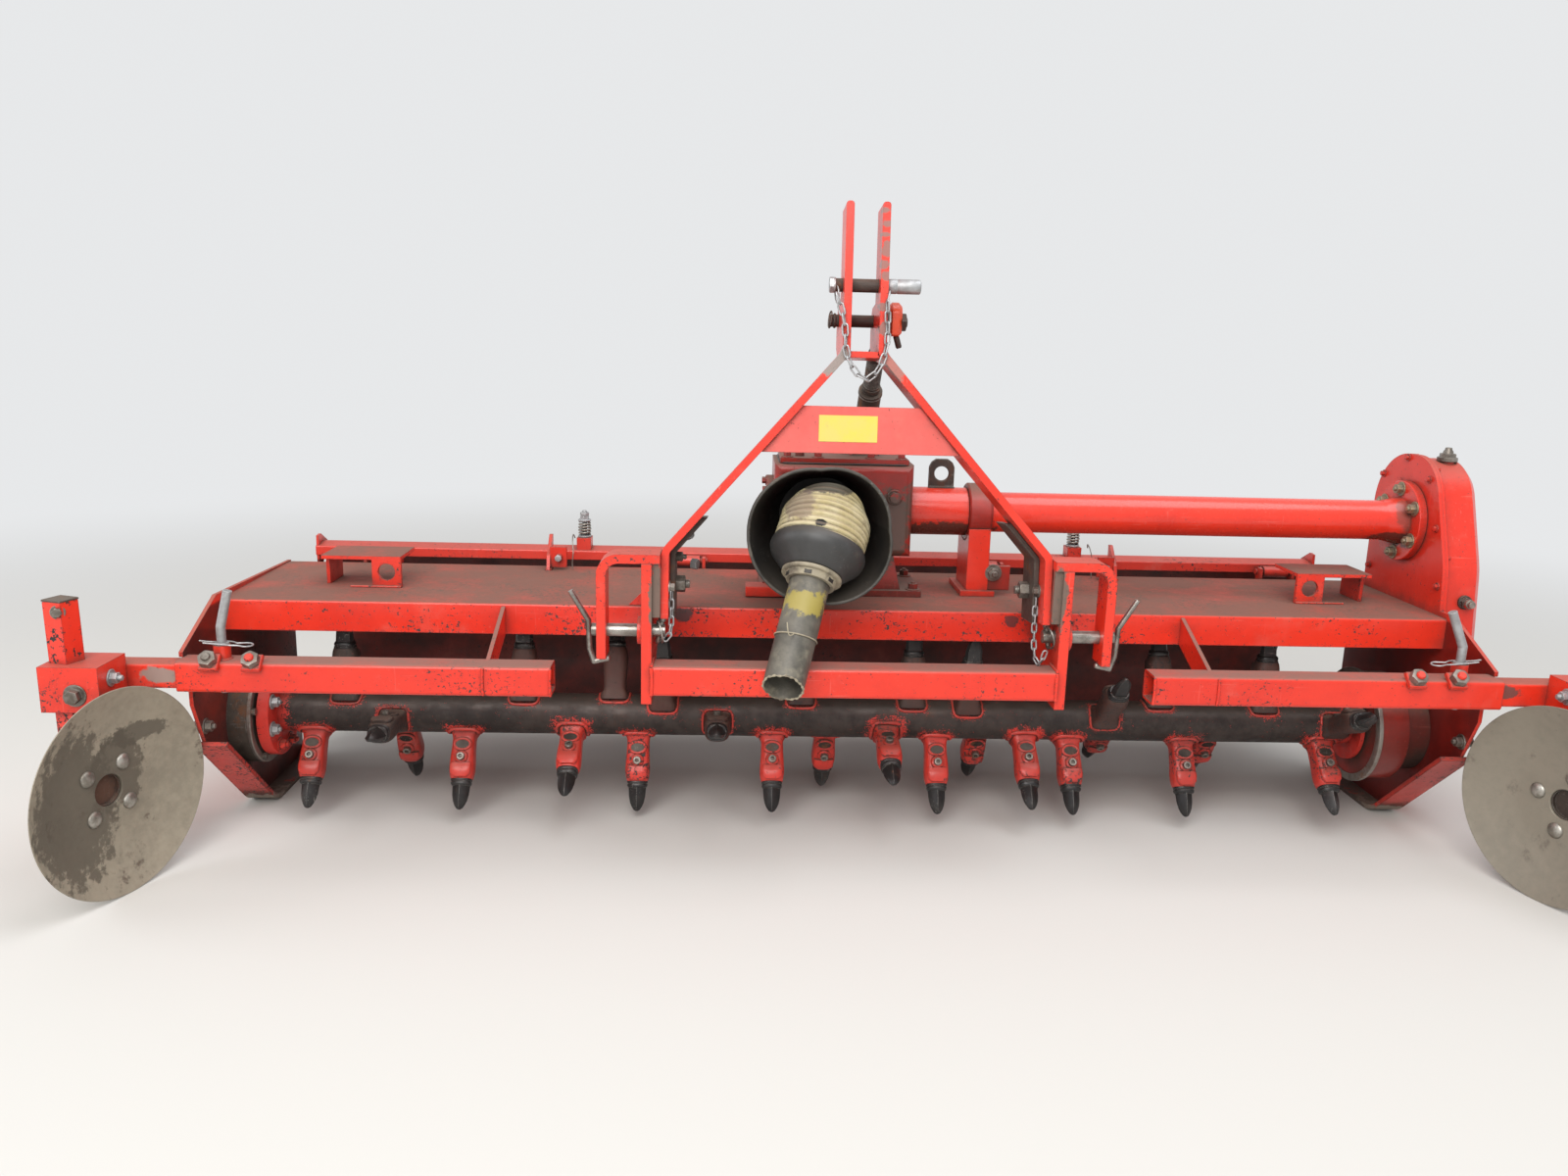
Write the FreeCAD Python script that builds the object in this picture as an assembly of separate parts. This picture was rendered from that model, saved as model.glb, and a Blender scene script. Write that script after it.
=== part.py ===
import FreeCAD
import Part
import os
from math import atan2, cos, radians, sin, sqrt, tan

# Tractor-mounted power cultivator with a tined rotor.
# Millimetres. +X is to the right for someone who faces the machine's hitch, +Y runs rearwards, away
# from the tractor, and +Z up, with the ground at 0. Places along Y are measured from the front edges
# of the lower hitch plates and moved at export, so that the origin lies under the machine's middle.

V = FreeCAD.Vector

# Clearances
seat = 0.3                   # between parts that rest on or beside each other
shaft_fit = 0.08             # radial, running shafts
pin_fit = 0.4                # radial, pins in drilled holes

# Hood
plate_out = 1291.0           # outer face of a side plate
side_t = 8.0                 # side plate thickness
deck_front = 205.0           # outer face of the deck's front fold
deck_rear = 598.0            # rear edge of the deck
deck_top = 488.0             # top face of the deck
deck_t = 6.0                 # deck plate
fold_h = 65.0                # height of the front fold
rear_fold_h = 34.0           # height of the rear fold

# Skids under the side plates
skid_t = 10.0
skid_line = [(84.0, 214.0), (318.0, 0.0), (560.0, 0.0), (604.0, 20.0)]
skid_bend = [0, 90.0, 60.0, 0]
skid_in = plate_out - 51.0
skid_out = plate_out + 11.0

# Rotor
rotor_y = 300.0
rotor_z = 220.0
tip_r = 212.0                # radius that the tine tips sweep
tube_r = 44.45
tube_wall = 8.0
end_gap = 6.0                # side clearance of the rotor
flange_left_t = 25.0
flange_left_r = 96.0
flange_right_t = 9.0
flange_right_r = 78.0
bearing_left_d = 47.0        # depth of the bearing housings from the side plates
bearing_right_d = 128.0
bearing_left_r = 112.0
bearing_right_r = 120.0
stub_r = 25.0
rotor_left = -plate_out + side_t + bearing_left_d + end_gap
rotor_right = plate_out - side_t - bearing_right_d - end_gap
tube_left = rotor_left + flange_left_t
tube_right = rotor_right - flange_right_t

# Tine holders and tines
holder_w = 58.0
holder_t = 44.0
holder_len = 148.0           # from the rotor's axis to the holder's end
shank_r = 11.0
rake = 16.0                  # lean in the turning direction
# share of the tube's length from its left end, angle from straight down towards the front
tines = [
    (0.030, 15), (0.060, 165), (0.104, 80), (0.107, -40), (0.166, 15), (0.221, 170), (0.266, 42),
    (0.304, 180), (0.326, 5), (0.349, 150), (0.400, 85), (0.451, 18), (0.477, 170), (0.502, -35),
    (0.557, 55), (0.581, 165), (0.605, 15), (0.633, 150), (0.649, -45), (0.688, 30), (0.731, 18),
    (0.762, 120), (0.774, -60), (0.816, 175), (0.841, 12), (0.876, -50), (0.916, 165), (0.974, 25),
    (0.983, 100),
]

# Beams ahead of the rotor
beam_w = 60.0
beam_wall = 5.0
beam_corner = 8.0
beam_front = -8.0
beam_top = 415.0
beam_in = 584.0              # inner end of a side beam
beam_out = plate_out - 6.0   # outer end of a side beam
cross_top = 420.0            # top of the beam between the hitch plates
beam_y = beam_front + beam_w / 2
beam_z = beam_top - beam_w / 2
gusset_x = beam_in + 127.0
gusset_t = 8.0

# Telescoping bars and their drop pins
tele_w = 49.0
tele_wall = 5.0
lock_x = beam_out - 78.0
tele_in = lock_x - 302.0
tele_out = plate_out + 149.0
lock_r = 8.5
lock_boss_h = 28.0
lock_lean = {-1: 17.0, 1: 30.0}

# Lower hitch
pin_z = 480.0
pin_r = 12.5
pin_y = 38.0
hitch_out = 412.5            # outer face of a hitch plate
hitch_t = 20.0
hitch_bottom = 342.0
hitch_top = 617.0
strap_t = 18.0
strap_d = 60.0
strap_gap = 67.5             # room between hitch plate and strap leg
strap_bottom = 430.0
strap_bend = 42.0            # outer bend radius
pad_t = 9.0
handle_r = 5.5

# Mast
mast_gap = 53.0              # room for the top link ball
mast_t = 15.0
mast_d = 80.0                # depth of the bent mast bars
mast_front = 18.0
mast_lean = 6.0              # degrees backwards
mast_foot_z = pin_z + 28.0
mast_foot_out = hitch_out - hitch_t - 15.5
mast_knee_z = 640.0
link_z = pin_z + 660.0
mast_neck_z = link_z - 118.0
mast_top_z = link_z + 156.0
mast_in = mast_gap / 2
mast_out = mast_in + mast_t
link_r = 12.7
brace_low = link_z - 310.0    # cross plate between the mast bars
brace_high = brace_low + 89.0
brace_t = 8.0

# Rear strut
strut_y = 190.0
strut_z = link_z - 66.0
strut_pin_r = 12.0
strut_eye_w = 14.0
strut_eye_r = 26.0
strut_thin_r = 16.5
strut_thick_r = 24.0
strut_x = mast_out + seat + strut_eye_w / 2
strut_ear_t = 8.0

# Gearbox and drive tube
drive_y = 415.0
drive_z = 667.0
drive_r = 44.45
drive_wall = 8.0
box_left = -155.0
box_right = 145.0
box_half_d = 92.0
box_bottom = 577.0
box_top = 776.0
strut_foot = V(mast_out + 1.5, drive_y + 25.0, box_top + 42.0)
input_x = -62.0
input_z = 675.0
neck_r = 62.0
neck_front = 262.0
ring_left = 276.0            # clamp ring on the drive tube
ring_right = 324.0
ring_r = 64.0
eye_x = 218.0                # lifting eye on the drive tube
eye_r = 17.5
eye_up = 84.0
eye_t = 10.0

# Gear case on the right side plate
case_d = 89.0                # depth of the cover
case_inset = 9.0             # width of the bolting flange
case_flange_t = 6.0
case_back = drive_y + 140.0
case_top = drive_z + 150.0
case_head = drive_y - 85.0   # front of the head's top
case_flank = drive_y - 169.0
case_knee = deck_top + 102.0
case_low = rotor_z - 118.0
case_front = rotor_y - 110.0
case_heel = rotor_y + 100.0
case_line = [(case_back, deck_top - 8), (case_back, case_top), (case_head, case_top), (case_flank, case_knee),
             (case_front, case_low), (case_heel, case_low)]
case_bend = [120.0, 126.0, 108.0, 200.0, 88.0, 98.0]

# Driveline, hinged in its universal joint
joint_y = 110.0
hang_deg = 55.0              # below level at rest
swing_x = -0.245             # sideways share of the driveline's direction
shaft_len = 330.0
cross_r = 8.0
guard_r = 39.5
guard_wall = 4.5
cone_r = 94.0
cone_start = 16.3
cone_end = 104.0
bellows_r = 86.0
bellows_start = -20.0
rim_y = 70.0                 # mouth of the input shaft's bell
bell_wall = 5.0

# Side discs
disc_r = 196.0
disc_t = 5.0
disc_dish = 34.0
disc_x = plate_out + 87.0
disc_y = -101.0
disc_toe = 19.0
disc_z = disc_r              # the discs stand on the ground
disc_hole_r = 30.0
hub_recess = 8.0
axle_r = 12.5
hub_r = 74.0
hub_len = 31.0
stalk_w = 40.0
stalk_gap = 0.5
stalk_top = V(tele_out + 18.0, -50.0, beam_top + 126.0)
hub_end = disc_t + seat + hub_len
stalk_out = hub_end + 5.0 + stalk_w / 2
clamp_w = 106.0
clamp_in = tele_out - 64.0
clamp_out = clamp_in + clamp_w
clamp_rear = beam_y - tele_w / 2 - seat
clamp_d = 101.0
clamp_low = beam_z - 40.0
clamp_high = beam_z + 45.0

# Tailgate
hinge_y = deck_rear + 18.0
hinge_z = deck_top + 14.0
hinge_r = 7.0
knuckle_r = 13.0
knuckle_w = 60.0
ear_t = 8.0
ear_gap = 6.0
gate_left = -plate_out + 55.0
gate_right = plate_out - 91.0
gate_t = 5.0
gate_low = 52.0
gate_rear = 805.0
lip_y = hinge_y + 18.0
knuckle_first = gate_left + 136.0
knuckle_pitch = (gate_right - gate_left - 276.0) / 3
knuckles = [knuckle_first + i * knuckle_pitch for i in range(4)]
gate_fold = gate_rear - 105.0
adjuster_x = [-600.0, 596.0]
adjuster_y = hinge_y + 42.0
adjuster_z = hinge_z + 46.0
adjuster_plate_x = 671.0

# Lifting lugs on the deck
lug_w = 168.0
lug_front = 332.0
lug_d = 114.0
lug_h = 68.0
lug_t = 8.0
lug_leg_w = 62.0
lug_hole_r = 18.0
lug_left = -plate_out + 171.0
lug_right = plate_out - 281.0


def box(x0, x1, y0, y1, z0, z1):
    return Part.makeBox(x1 - x0, y1 - y0, z1 - z0, V(x0, y0, z0))


def rod(start, end, r):
    return Part.makeCylinder(r, (end - start).Length, start, end - start)


def rod_x(x0, x1, y, z, r):
    return Part.makeCylinder(r, x1 - x0, V(x0, y, z), V(1, 0, 0))


def rod_y(x, y0, y1, z, r):
    return Part.makeCylinder(r, y1 - y0, V(x, y0, z), V(0, 1, 0))


def prism(points, direction):
    wire = Part.makePolygon([V(*p) for p in points] + [V(*points[0])])
    return Part.Face(wire).extrude(direction)


def plate_yz(points, x0, x1):
    return prism([(x0, y, z) for y, z in points], V(x1 - x0, 0, 0))


def plate_xz(points, y0, y1):
    return prism([(x, y0, z) for x, z in points], V(0, y1 - y0, 0))


def fuse(shapes):
    first = shapes[0]
    if len(shapes) > 1:
        first = first.fuse(shapes[1:])
    return first.removeSplitter()


def mirror_x(shape, side):
    return shape if side < 0 else shape.mirror(V(0, 0, 0), V(1, 0, 0))


def round_corners(points, radii):
    """Closed wire through 2-D points with an arc at each corner that has a radius."""
    n = len(points)
    ends = []
    for i, (p, r) in enumerate(zip(points, radii)):
        corner = V(*p, 0)
        if not r:
            ends.append((corner, None, corner))
            continue
        u = (V(*points[i - 1], 0) - corner).normalize()
        w = (V(*points[(i + 1) % n], 0) - corner).normalize()
        half = u.getAngle(w) / 2
        reach = r / tan(half)
        centre = corner + (u + w).normalize() * (r / sin(half))
        mid = centre + (corner - centre).normalize() * r
        ends.append((corner + u * reach, mid, corner + w * reach))
    edges = []
    for i, (start, mid, end) in enumerate(ends):
        if mid is not None:
            edges.append(Part.Arc(start, mid, end).toShape())
        after = ends[(i + 1) % n][0]
        if (after - end).Length > 1e-6:
            edges.append(Part.LineSegment(end, after).toShape())
    return Part.Wire(edges)


def offset_line(points, t):
    """Open 2-D line moved by t to the left of its direction, with mitred corners."""
    moved = []
    for i, p in enumerate(points):
        here = V(*p, 0)
        before = (here - V(*points[i - 1], 0)).normalize() if i else None
        after = (V(*points[i + 1], 0) - here).normalize() if i + 1 < len(points) else None
        first = before or after
        last = after or before
        normal = V(-first.y - last.y, first.x + last.x, 0).normalize()
        shift = t / (normal.x * -first.y + normal.y * first.x)
        moved.append((here.x + normal.x * shift, here.y + normal.y * shift))
    return moved


def place_yz(shape, x0):
    """Turn a shape drawn in local XY so that local X is Y, local Y is Z and local Z is X."""
    shape = shape.copy()
    shape.Placement = FreeCAD.Placement(
        V(x0, 0, 0), FreeCAD.Rotation(V(0, 1, 0), V(0, 0, 1), V(1, 0, 0), "XYZ"))
    return shape


def place_xz(shape, y1):
    """Turn a shape drawn in local XY so that local X is X, local Y is Z and it runs forward from y1."""
    shape = shape.copy()
    shape.Placement = FreeCAD.Placement(V(0, y1, 0), FreeCAD.Rotation(V(1, 0, 0), 90))
    return shape


def rounded_yz(points, radii, x0, x1):
    return place_yz(Part.Face(round_corners(points, radii)).extrude(V(0, 0, x1 - x0)), x0)


def square_tube(x0, x1, y, z, w, wall, corner):
    """Rounded square tube along X, centred on y and z."""
    def bar(half, r):
        corners = [(y - half, z - half), (y + half, z - half), (y + half, z + half), (y - half, z + half)]
        return rounded_yz(corners, [r] * 4, x0, x1)
    return bar(w / 2, corner).cut(bar(w / 2 - wall, max(corner - wall, 1.0)))


def turned(points, centre, axis):
    """Solid of revolution about an axis through centre, from (distance, radius) pairs."""
    closed = points + points[:1]
    wire = Part.makePolygon([V(r, 0, s) for s, r in closed])
    solid = Part.Face(wire).revolve(V(0, 0, 0), V(0, 0, 1), 360)
    solid.Placement = FreeCAD.Placement(centre, FreeCAD.Rotation(V(0, 0, 1), axis))
    return solid


# Hood, side plates and skids

def deck():
    x = plate_out - side_t
    outline = [(deck_front, deck_top), (deck_rear, deck_top), (deck_rear, deck_top - rear_fold_h),
               (deck_rear - deck_t, deck_top - rear_fold_h), (deck_rear - deck_t, deck_top - deck_t),
               (deck_front + deck_t, deck_top - deck_t), (deck_front + deck_t, deck_top - fold_h),
               (deck_front, deck_top - fold_h)]
    return rounded_yz(outline, [deck_t, deck_t, 0, 0, 2, 2, 0, 0], -x, x)


def skid(side):
    """Bent strip under a side plate, flat on the ground."""
    inner = offset_line(skid_line, skid_t)
    bend = [max(r - skid_t, 0) for r in skid_bend]
    return mirror_x(rounded_yz(skid_line + inner[::-1], skid_bend + bend[::-1], -skid_out, -skid_in), side)


def side_blank(x0, x1):
    """Side plate from the beam over the deck to the skid, whose line it follows."""
    low = offset_line(skid_line, skid_t + seat)
    bend = [max(r - skid_t - seat, 0) for r in skid_bend]
    rear = beam_front + beam_w + seat
    top = [(rear, beam_top + seat), (beam_front + 34, beam_top + seat), (beam_front + 34, beam_top + 10),
           (deck_front - 17, deck_top + 12), (deck_rear + 2, deck_top + 2)]
    return rounded_yz(top + low[::-1] + [(rear, beam_z - 75)], [0] * len(top) + bend[::-1] + [0], x0, x1)


def side_plate_left():
    x0 = -plate_out
    hole = rod_x(x0 - 1, x0 + side_t + 1, rotor_y, rotor_z, stub_r + 6)
    return side_blank(x0, x0 + side_t).cut(hole)


def side_plate_right():
    x0 = plate_out - side_t
    hole = rod_x(x0 - 1, plate_out + 1, rotor_y, rotor_z, stub_r + 6)
    return fuse([side_blank(x0, plate_out), case_body(0.0, x0, plate_out)]).cut(hole)


def case_body(inset, x0, x1):
    """Gear case outline: head over the drive tube, bent flank, foot over the rotor's end."""
    face = Part.Face(round_corners(case_line, case_bend))
    if inset:
        face = face.makeOffset2D(-inset)
    return place_yz(face.extrude(V(0, 0, x1 - x0)), x0)


def gear_case():
    """Cover of the side drive with a flange against the side plate, plugs and bearing bosses."""
    out = plate_out + case_d
    flange = case_body(0.0, plate_out, plate_out + case_flange_t)
    cover = case_body(case_inset, plate_out, out)
    rim = [e for e in cover.Edges if e.BoundBox.XMin > out - 0.01]
    cover = cover.makeChamfer(16.0, rim)
    boss = rod_x(out - 1, out + 12, rotor_y, rotor_z, 60.0)
    cap = rod_x(out - 1, out + 8, drive_y, drive_z, 52.0)
    plug_x = plate_out + case_d * 0.56
    plug_y = case_head + 54
    filler = rod(V(plug_x, plug_y, case_top - case_inset - 12), V(plug_x, plug_y, case_top - 4), 15.0)
    level = rod_y(plug_x, case_flank - 22, case_flank + 30, deck_top + 27, 9.0)
    return fuse([flange, cover, boss, cap, filler, level])


# Beams, telescoping bars and drop pins

def side_beam(side):
    tube = square_tube(-beam_out, -beam_in, beam_y, beam_z, beam_w, beam_wall, beam_corner)
    front = deck_front - seat
    rear = beam_front + beam_w - 3
    gusset = plate_yz([(front, deck_top - 6), (beam_y + 12, beam_top - 2), (rear, beam_top - 2),
                       (rear, beam_top - 50), (front, deck_top - fold_h + 2)],
                      -gusset_x - gusset_t / 2, -gusset_x + gusset_t / 2)
    boss = rod(V(-lock_x, beam_y, beam_top - 4), V(-lock_x, beam_y, beam_top + lock_boss_h), 15.5)
    hole = rod(V(-lock_x, beam_y, beam_z - beam_w), V(-lock_x, beam_y, beam_z + 90), lock_r + pin_fit)
    return mirror_x(fuse([tube, gusset, boss]).cut(hole), side)


def extension(side):
    """Telescoping bar in the side beam that carries the disc's clamp."""
    shape = square_tube(-tele_out, -tele_in, beam_y, beam_z, tele_w, tele_wall, 6.0)
    hole = rod(V(-lock_x, beam_y, beam_z - tele_w), V(-lock_x, beam_y, beam_z + tele_w), lock_r + pin_fit)
    return mirror_x(shape.cut(hole), side)


def lock_pin(side):
    """Zinc drop pin through boss, beam and extension, its top bent for the hand."""
    low = V(-lock_x, beam_y, beam_z - beam_w / 2 - 6)
    collar = V(-lock_x, beam_y, beam_top + lock_boss_h + seat)
    knee = V(-lock_x, beam_y, collar.z + 34)
    top = V(-lock_x + lock_lean[side], beam_y + 2, knee.z + 70)
    pieces = [rod(low, knee, lock_r), rod(knee, top, lock_r), Part.makeSphere(lock_r, knee),
              rod(collar, collar + V(0, 0, 3), 13.0)]
    return mirror_x(fuse(pieces), side)


def crossbeam():
    x = hitch_out - hitch_t - seat
    return square_tube(-x, x, beam_y, cross_top - beam_w / 2, beam_w, beam_wall, beam_corner)


# Lower hitch

def hitch_bracket(side):
    """Thick hitch plate with its pad, filler, deck gusset and the bent strap outside it."""
    foot = 226.0
    inner = plate_yz([(0, hitch_bottom), (0, hitch_top), (mast_d + 8, hitch_top), (foot, deck_top + 44),
                      (foot, deck_top + seat), (deck_front - seat, deck_top + seat),
                      (deck_front - seat, deck_top - fold_h + 3), (84, hitch_bottom + 30), (64, hitch_bottom)],
                     -hitch_out, -hitch_out + hitch_t)
    mast_side = -mast_foot_out - seat
    filler = box(-hitch_out + hitch_t, mast_side, 10, mast_front + 4, mast_foot_z + 4, hitch_top)
    gusset = plate_xz([(-hitch_out, deck_top + seat), (-hitch_out - 42, deck_top + seat),
                       (-hitch_out, deck_top + 42)], deck_front + 4, deck_front + 12)
    pad = rod_x(-hitch_out - pad_t, -hitch_out, pin_y, pin_z, 27.0)
    out = hitch_out + strap_gap + strap_t
    top = hitch_top + strap_t
    line = [(-out, strap_bottom), (-out, top), (mast_side, top), (mast_side, hitch_top),
            (-out + strap_t, hitch_top), (-out + strap_t, strap_bottom)]
    wire = round_corners(line, [0, strap_bend, 0, 0, strap_bend - strap_t, 0])
    strap = place_xz(Part.Face(wire).extrude(V(0, 0, strap_d)), strap_d + 4)
    bore = rod_x(-out - 5, -hitch_out + hitch_t + 5, pin_y, pin_z, pin_r + pin_fit)
    return mirror_x(fuse([inner, filler, gusset, pad, strap]).cut(bore), side)


def hitch_pin(side):
    """Lower link pin with the bent handle that hooks under the strap."""
    end = hitch_out + strap_gap + strap_t + 12
    pieces = [rod_x(-end, -hitch_out + hitch_t + 24, pin_y, pin_z, pin_r)]
    x = -end - handle_r + 2
    route = [V(x - 36, pin_y - 8, pin_z + 78), V(x - 2, pin_y - 8, pin_z + 20), V(x, pin_y - 6, pin_z - 38),
             V(x + 8, pin_y - 6, strap_bottom - 12), V(x + 34, pin_y - 6, strap_bottom - handle_r - 0.6)]
    for a, b in zip(route, route[1:]):
        pieces += [rod(a, b, handle_r), Part.makeSphere(handle_r, b)]
    return mirror_x(fuse(pieces), side)


# Mast

def lean(shape):
    """Tip the mast backwards about its front foot edge."""
    shape = shape.copy()
    shape.rotate(V(0, mast_front, mast_foot_z), V(1, 0, 0), -mast_lean)
    return shape


def upright(y, z):
    """Place of a point of the leaned mast before it is leaned."""
    tilt = radians(mast_lean)
    y, z = y - mast_front, z - mast_foot_z
    return mast_front + y * cos(tilt) - z * sin(tilt), mast_foot_z + y * sin(tilt) + z * cos(tilt)


def leaned_y(y, z):
    """Y of a point of the leaned mast at its final height z, for a point at depth y."""
    return mast_front + (y - mast_front) / cos(radians(mast_lean)) + (z - mast_foot_z) * tan(radians(mast_lean))


link_y = leaned_y(mast_front + mast_d / 2, link_z)


def mast_side(side):
    """One bent flat bar: foot, diagonal and upright, with the ear that carries the strut pin."""
    slope = atan2(mast_foot_out - mast_out, mast_neck_z - mast_knee_z)
    shift = mast_t * tan(slope / 2)
    left = [(-mast_foot_out, mast_foot_z), (-mast_foot_out, mast_knee_z), (-mast_out, mast_neck_z),
            (-mast_out, mast_top_z)]
    right = [(-mast_in, mast_top_z), (-mast_in, mast_neck_z - shift),
             (-mast_foot_out + mast_t, mast_knee_z - shift), (-mast_foot_out + mast_t, mast_foot_z)]
    wire = round_corners(left + right, [0, 30, 30, 6, 6, 30 - mast_t, 30 - mast_t, 0])
    bar = place_xz(Part.Face(wire).extrude(V(0, 0, mast_d)), mast_front + mast_d)
    rear = mast_front + mast_d - 2
    y, z = upright(strut_y, strut_z)
    ear = plate_yz([(rear, z + 31), (rear, z - 74), (y + 8, z - 74), (y + 42, z - 49), (y + 42, z + 3),
                    (y + 20, z + 27)], -mast_out, -mast_in)
    shape = lean(fuse([bar, ear]))
    x0, x1 = -mast_out - 5, -mast_in + 5
    return mirror_x(shape.cut(rod_x(x0, x1, link_y, link_z, link_r + pin_fit))
                    .cut(rod_x(x0, x1, strut_y, strut_z, strut_pin_r + pin_fit)), side)


def mast_slope():
    return (mast_foot_out - mast_out) / (mast_neck_z - mast_knee_z)


def mast_spacer():
    x, z = mast_in - seat, mast_neck_z - 6
    points = [(-x - 6 * mast_slope(), z - 6), (-x, z), (-x, z + 6), (x, z + 6), (x, z), (x + 6 * mast_slope(), z - 6)]
    return lean(plate_xz(points, mast_front + 4, mast_front + mast_d - 6))


def cross_plate():
    slope = mast_slope()
    inset = mast_t * sqrt(1 + slope * slope) + seat

    def half(z):
        return mast_out + (mast_neck_z - z) * slope - inset
    points = [(-half(brace_low), brace_low), (-half(brace_high), brace_high),
              (half(brace_high), brace_high), (half(brace_low), brace_low)]
    return lean(plate_xz(points, mast_front + 10, mast_front + 10 + brace_t))


def top_link_pin():
    """Smooth pin with its thicker grip at the right."""
    return fuse([rod_x(-mast_out - 26, mast_out + 66, link_y, link_z, link_r),
                 rod_x(mast_out + 2, mast_out + 64, link_y, link_z, link_r + 1.2)])


def strut_pin():
    """Pin of the rear strut with its forged lever and nut at the right."""
    x = strut_x + strut_eye_w / 2 + seat
    pin = rod_x(-mast_out - 21, x + 36, strut_y, strut_z, strut_pin_r)
    lever = plate_yz([(strut_y - 20, strut_z - 30), (strut_y + 20, strut_z - 30), (strut_y + 22, strut_z + 20),
                      (strut_y + 8, strut_z + 36), (strut_y - 14, strut_z + 36)], x, x + 26)
    nut = rod_x(x + 26, x + 36, strut_y, strut_z, 19.0)
    return fuse([pin, lever, nut])


def rear_strut():
    """Telescoping brace from the mast's rear ears down to the gearbox top."""
    top = V(strut_foot.x, strut_y, strut_z)
    way = (strut_foot - top).normalize()
    length = (strut_foot - top).Length
    split = length * 0.56
    eye = rod_x(strut_x - strut_eye_w / 2, strut_x + strut_eye_w / 2, strut_y, strut_z, strut_eye_r)
    flat = box(-strut_eye_w / 2, strut_eye_w / 2, -20, 20, 0, 92)
    flat.Placement = FreeCAD.Placement(V(strut_x, strut_y, strut_z),
                                       FreeCAD.Rotation(V(1, 0, 0), V(0, 0, 0), way, "ZXY"))
    thin = rod(top + way * 84, top + way * (split + 20), strut_thin_r)
    thick = rod(top + way * split, strut_foot, strut_thick_r)
    foot_w = strut_thick_r + 1
    foot = rod_x(strut_foot.x - foot_w, strut_foot.x + foot_w, strut_foot.y, strut_foot.z, strut_eye_r)
    shape = fuse([eye, flat, thin, thick, foot])
    shape = shape.cut(rod_x(strut_x - 40, strut_x + 40, strut_y, strut_z, strut_pin_r + pin_fit))
    return shape.cut(rod_x(strut_foot.x - 40, strut_foot.x + 40, strut_foot.y, strut_foot.z,
                           strut_pin_r + pin_fit))


# Gearbox, drive tube and bell

def gearbox():
    """Cast housing on its pedestal, with input neck and side cover."""
    y0, y1 = drive_y - box_half_d, drive_y + box_half_d
    floor = deck_top + seat
    body = box(box_left, box_right, y0, y1, box_bottom, box_top)
    body = body.makeFillet(18.0, [e for e in body.Edges if e.BoundBox.YLength < 0.1])
    neck = rod_y(input_x, neck_front, y0 + 20, input_z, neck_r)
    collar = rod_y(input_x, y0 - 12, y0 + 2, input_z, neck_r + 14)
    cover = rod_x(box_left - 14, box_left, drive_y, drive_z, 72.0)
    pedestal = plate_xz([(box_left + 15, floor), (box_left + 37, box_bottom + 4), (box_right - 37, box_bottom + 4),
                         (box_right - 15, floor)], y0 + 14, y1 - 14)
    base = box(box_left - 27, box_right + 27, y0 + 2, y1 - 2, floor, floor + 14)
    rear = rod_y(input_x, y1, y1 + 16, input_z, 56.0)
    return fuse([body, neck, collar, cover, pedestal, base, rear])


def gearbox_cover():
    """Bolted top cover with breather and the two ears that hold the rear strut on its pin."""
    x, y, z = strut_foot
    top = box(box_left + 12, box_right - 12, drive_y - box_half_d + 10, drive_y + box_half_d - 10,
              box_top + seat, box_top + 11)
    inner = strut_thick_r + 1 + seat
    pieces = [top, Part.makeCylinder(10, 22, V(-100, drive_y - 40, box_top + 8)),
              rod_x(x - inner - strut_ear_t - 8, x + inner + strut_ear_t + 8, y, z, strut_pin_r)]
    for x0 in (x - inner - strut_ear_t, x + inner):
        pieces.append(plate_yz([(y - 34, box_top + 10), (y - 17, z + 20), (y + 17, z + 20), (y + 34, box_top + 10)],
                               x0, x0 + strut_ear_t))
    return fuse(pieces)


def bell_ring(y, half_w, half_up, half_down, cx):
    """Egg-shaped ring of the bell at one depth, in four arcs."""
    up = V(cx, y, input_z + half_up)
    down = V(cx + 14, y, input_z - half_down)
    left, right = V(cx - half_w, y, input_z - 6), V(cx + half_w, y, input_z + 4)
    bulge = 0.74

    def mid(a, b):
        return V(cx + (a.x + b.x - 2 * cx) * bulge, y, input_z + (a.z + b.z - 2 * input_z) * bulge)
    arcs = [Part.Arc(up, mid(up, right), right), Part.Arc(right, mid(right, down), down),
            Part.Arc(down, mid(down, left), left), Part.Arc(left, mid(left, up), up)]
    return Part.Wire([a.toShape() for a in arcs])


def bell_shell(grow):
    rear = neck_r + 12 + grow
    rings = [bell_ring(neck_front + 44, rear, rear, rear, input_x),
             bell_ring(neck_front - 30, 104 + grow, 94 + grow, 96 + grow, input_x - 4),
             bell_ring(rim_y, 140 + grow, 122 + grow, 146 + grow, input_x - 12)]
    return Part.makeLoft(rings, True, True)


def pto_bell():
    """Hollow guard round the input shaft, clamped on the gearbox neck, open to the front."""
    outer = bell_shell(0.0)
    reach = 2 * neck_r
    back = outer.common(box(input_x - reach, input_x + reach, neck_front + 14, neck_front + 20,
                            input_z - reach, input_z + reach))
    hole = rod_y(input_x, neck_front - 6, neck_front + 50, input_z, neck_r + seat)
    return fuse([outer.cut(bell_shell(-bell_wall)), back]).cut(hole)


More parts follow.
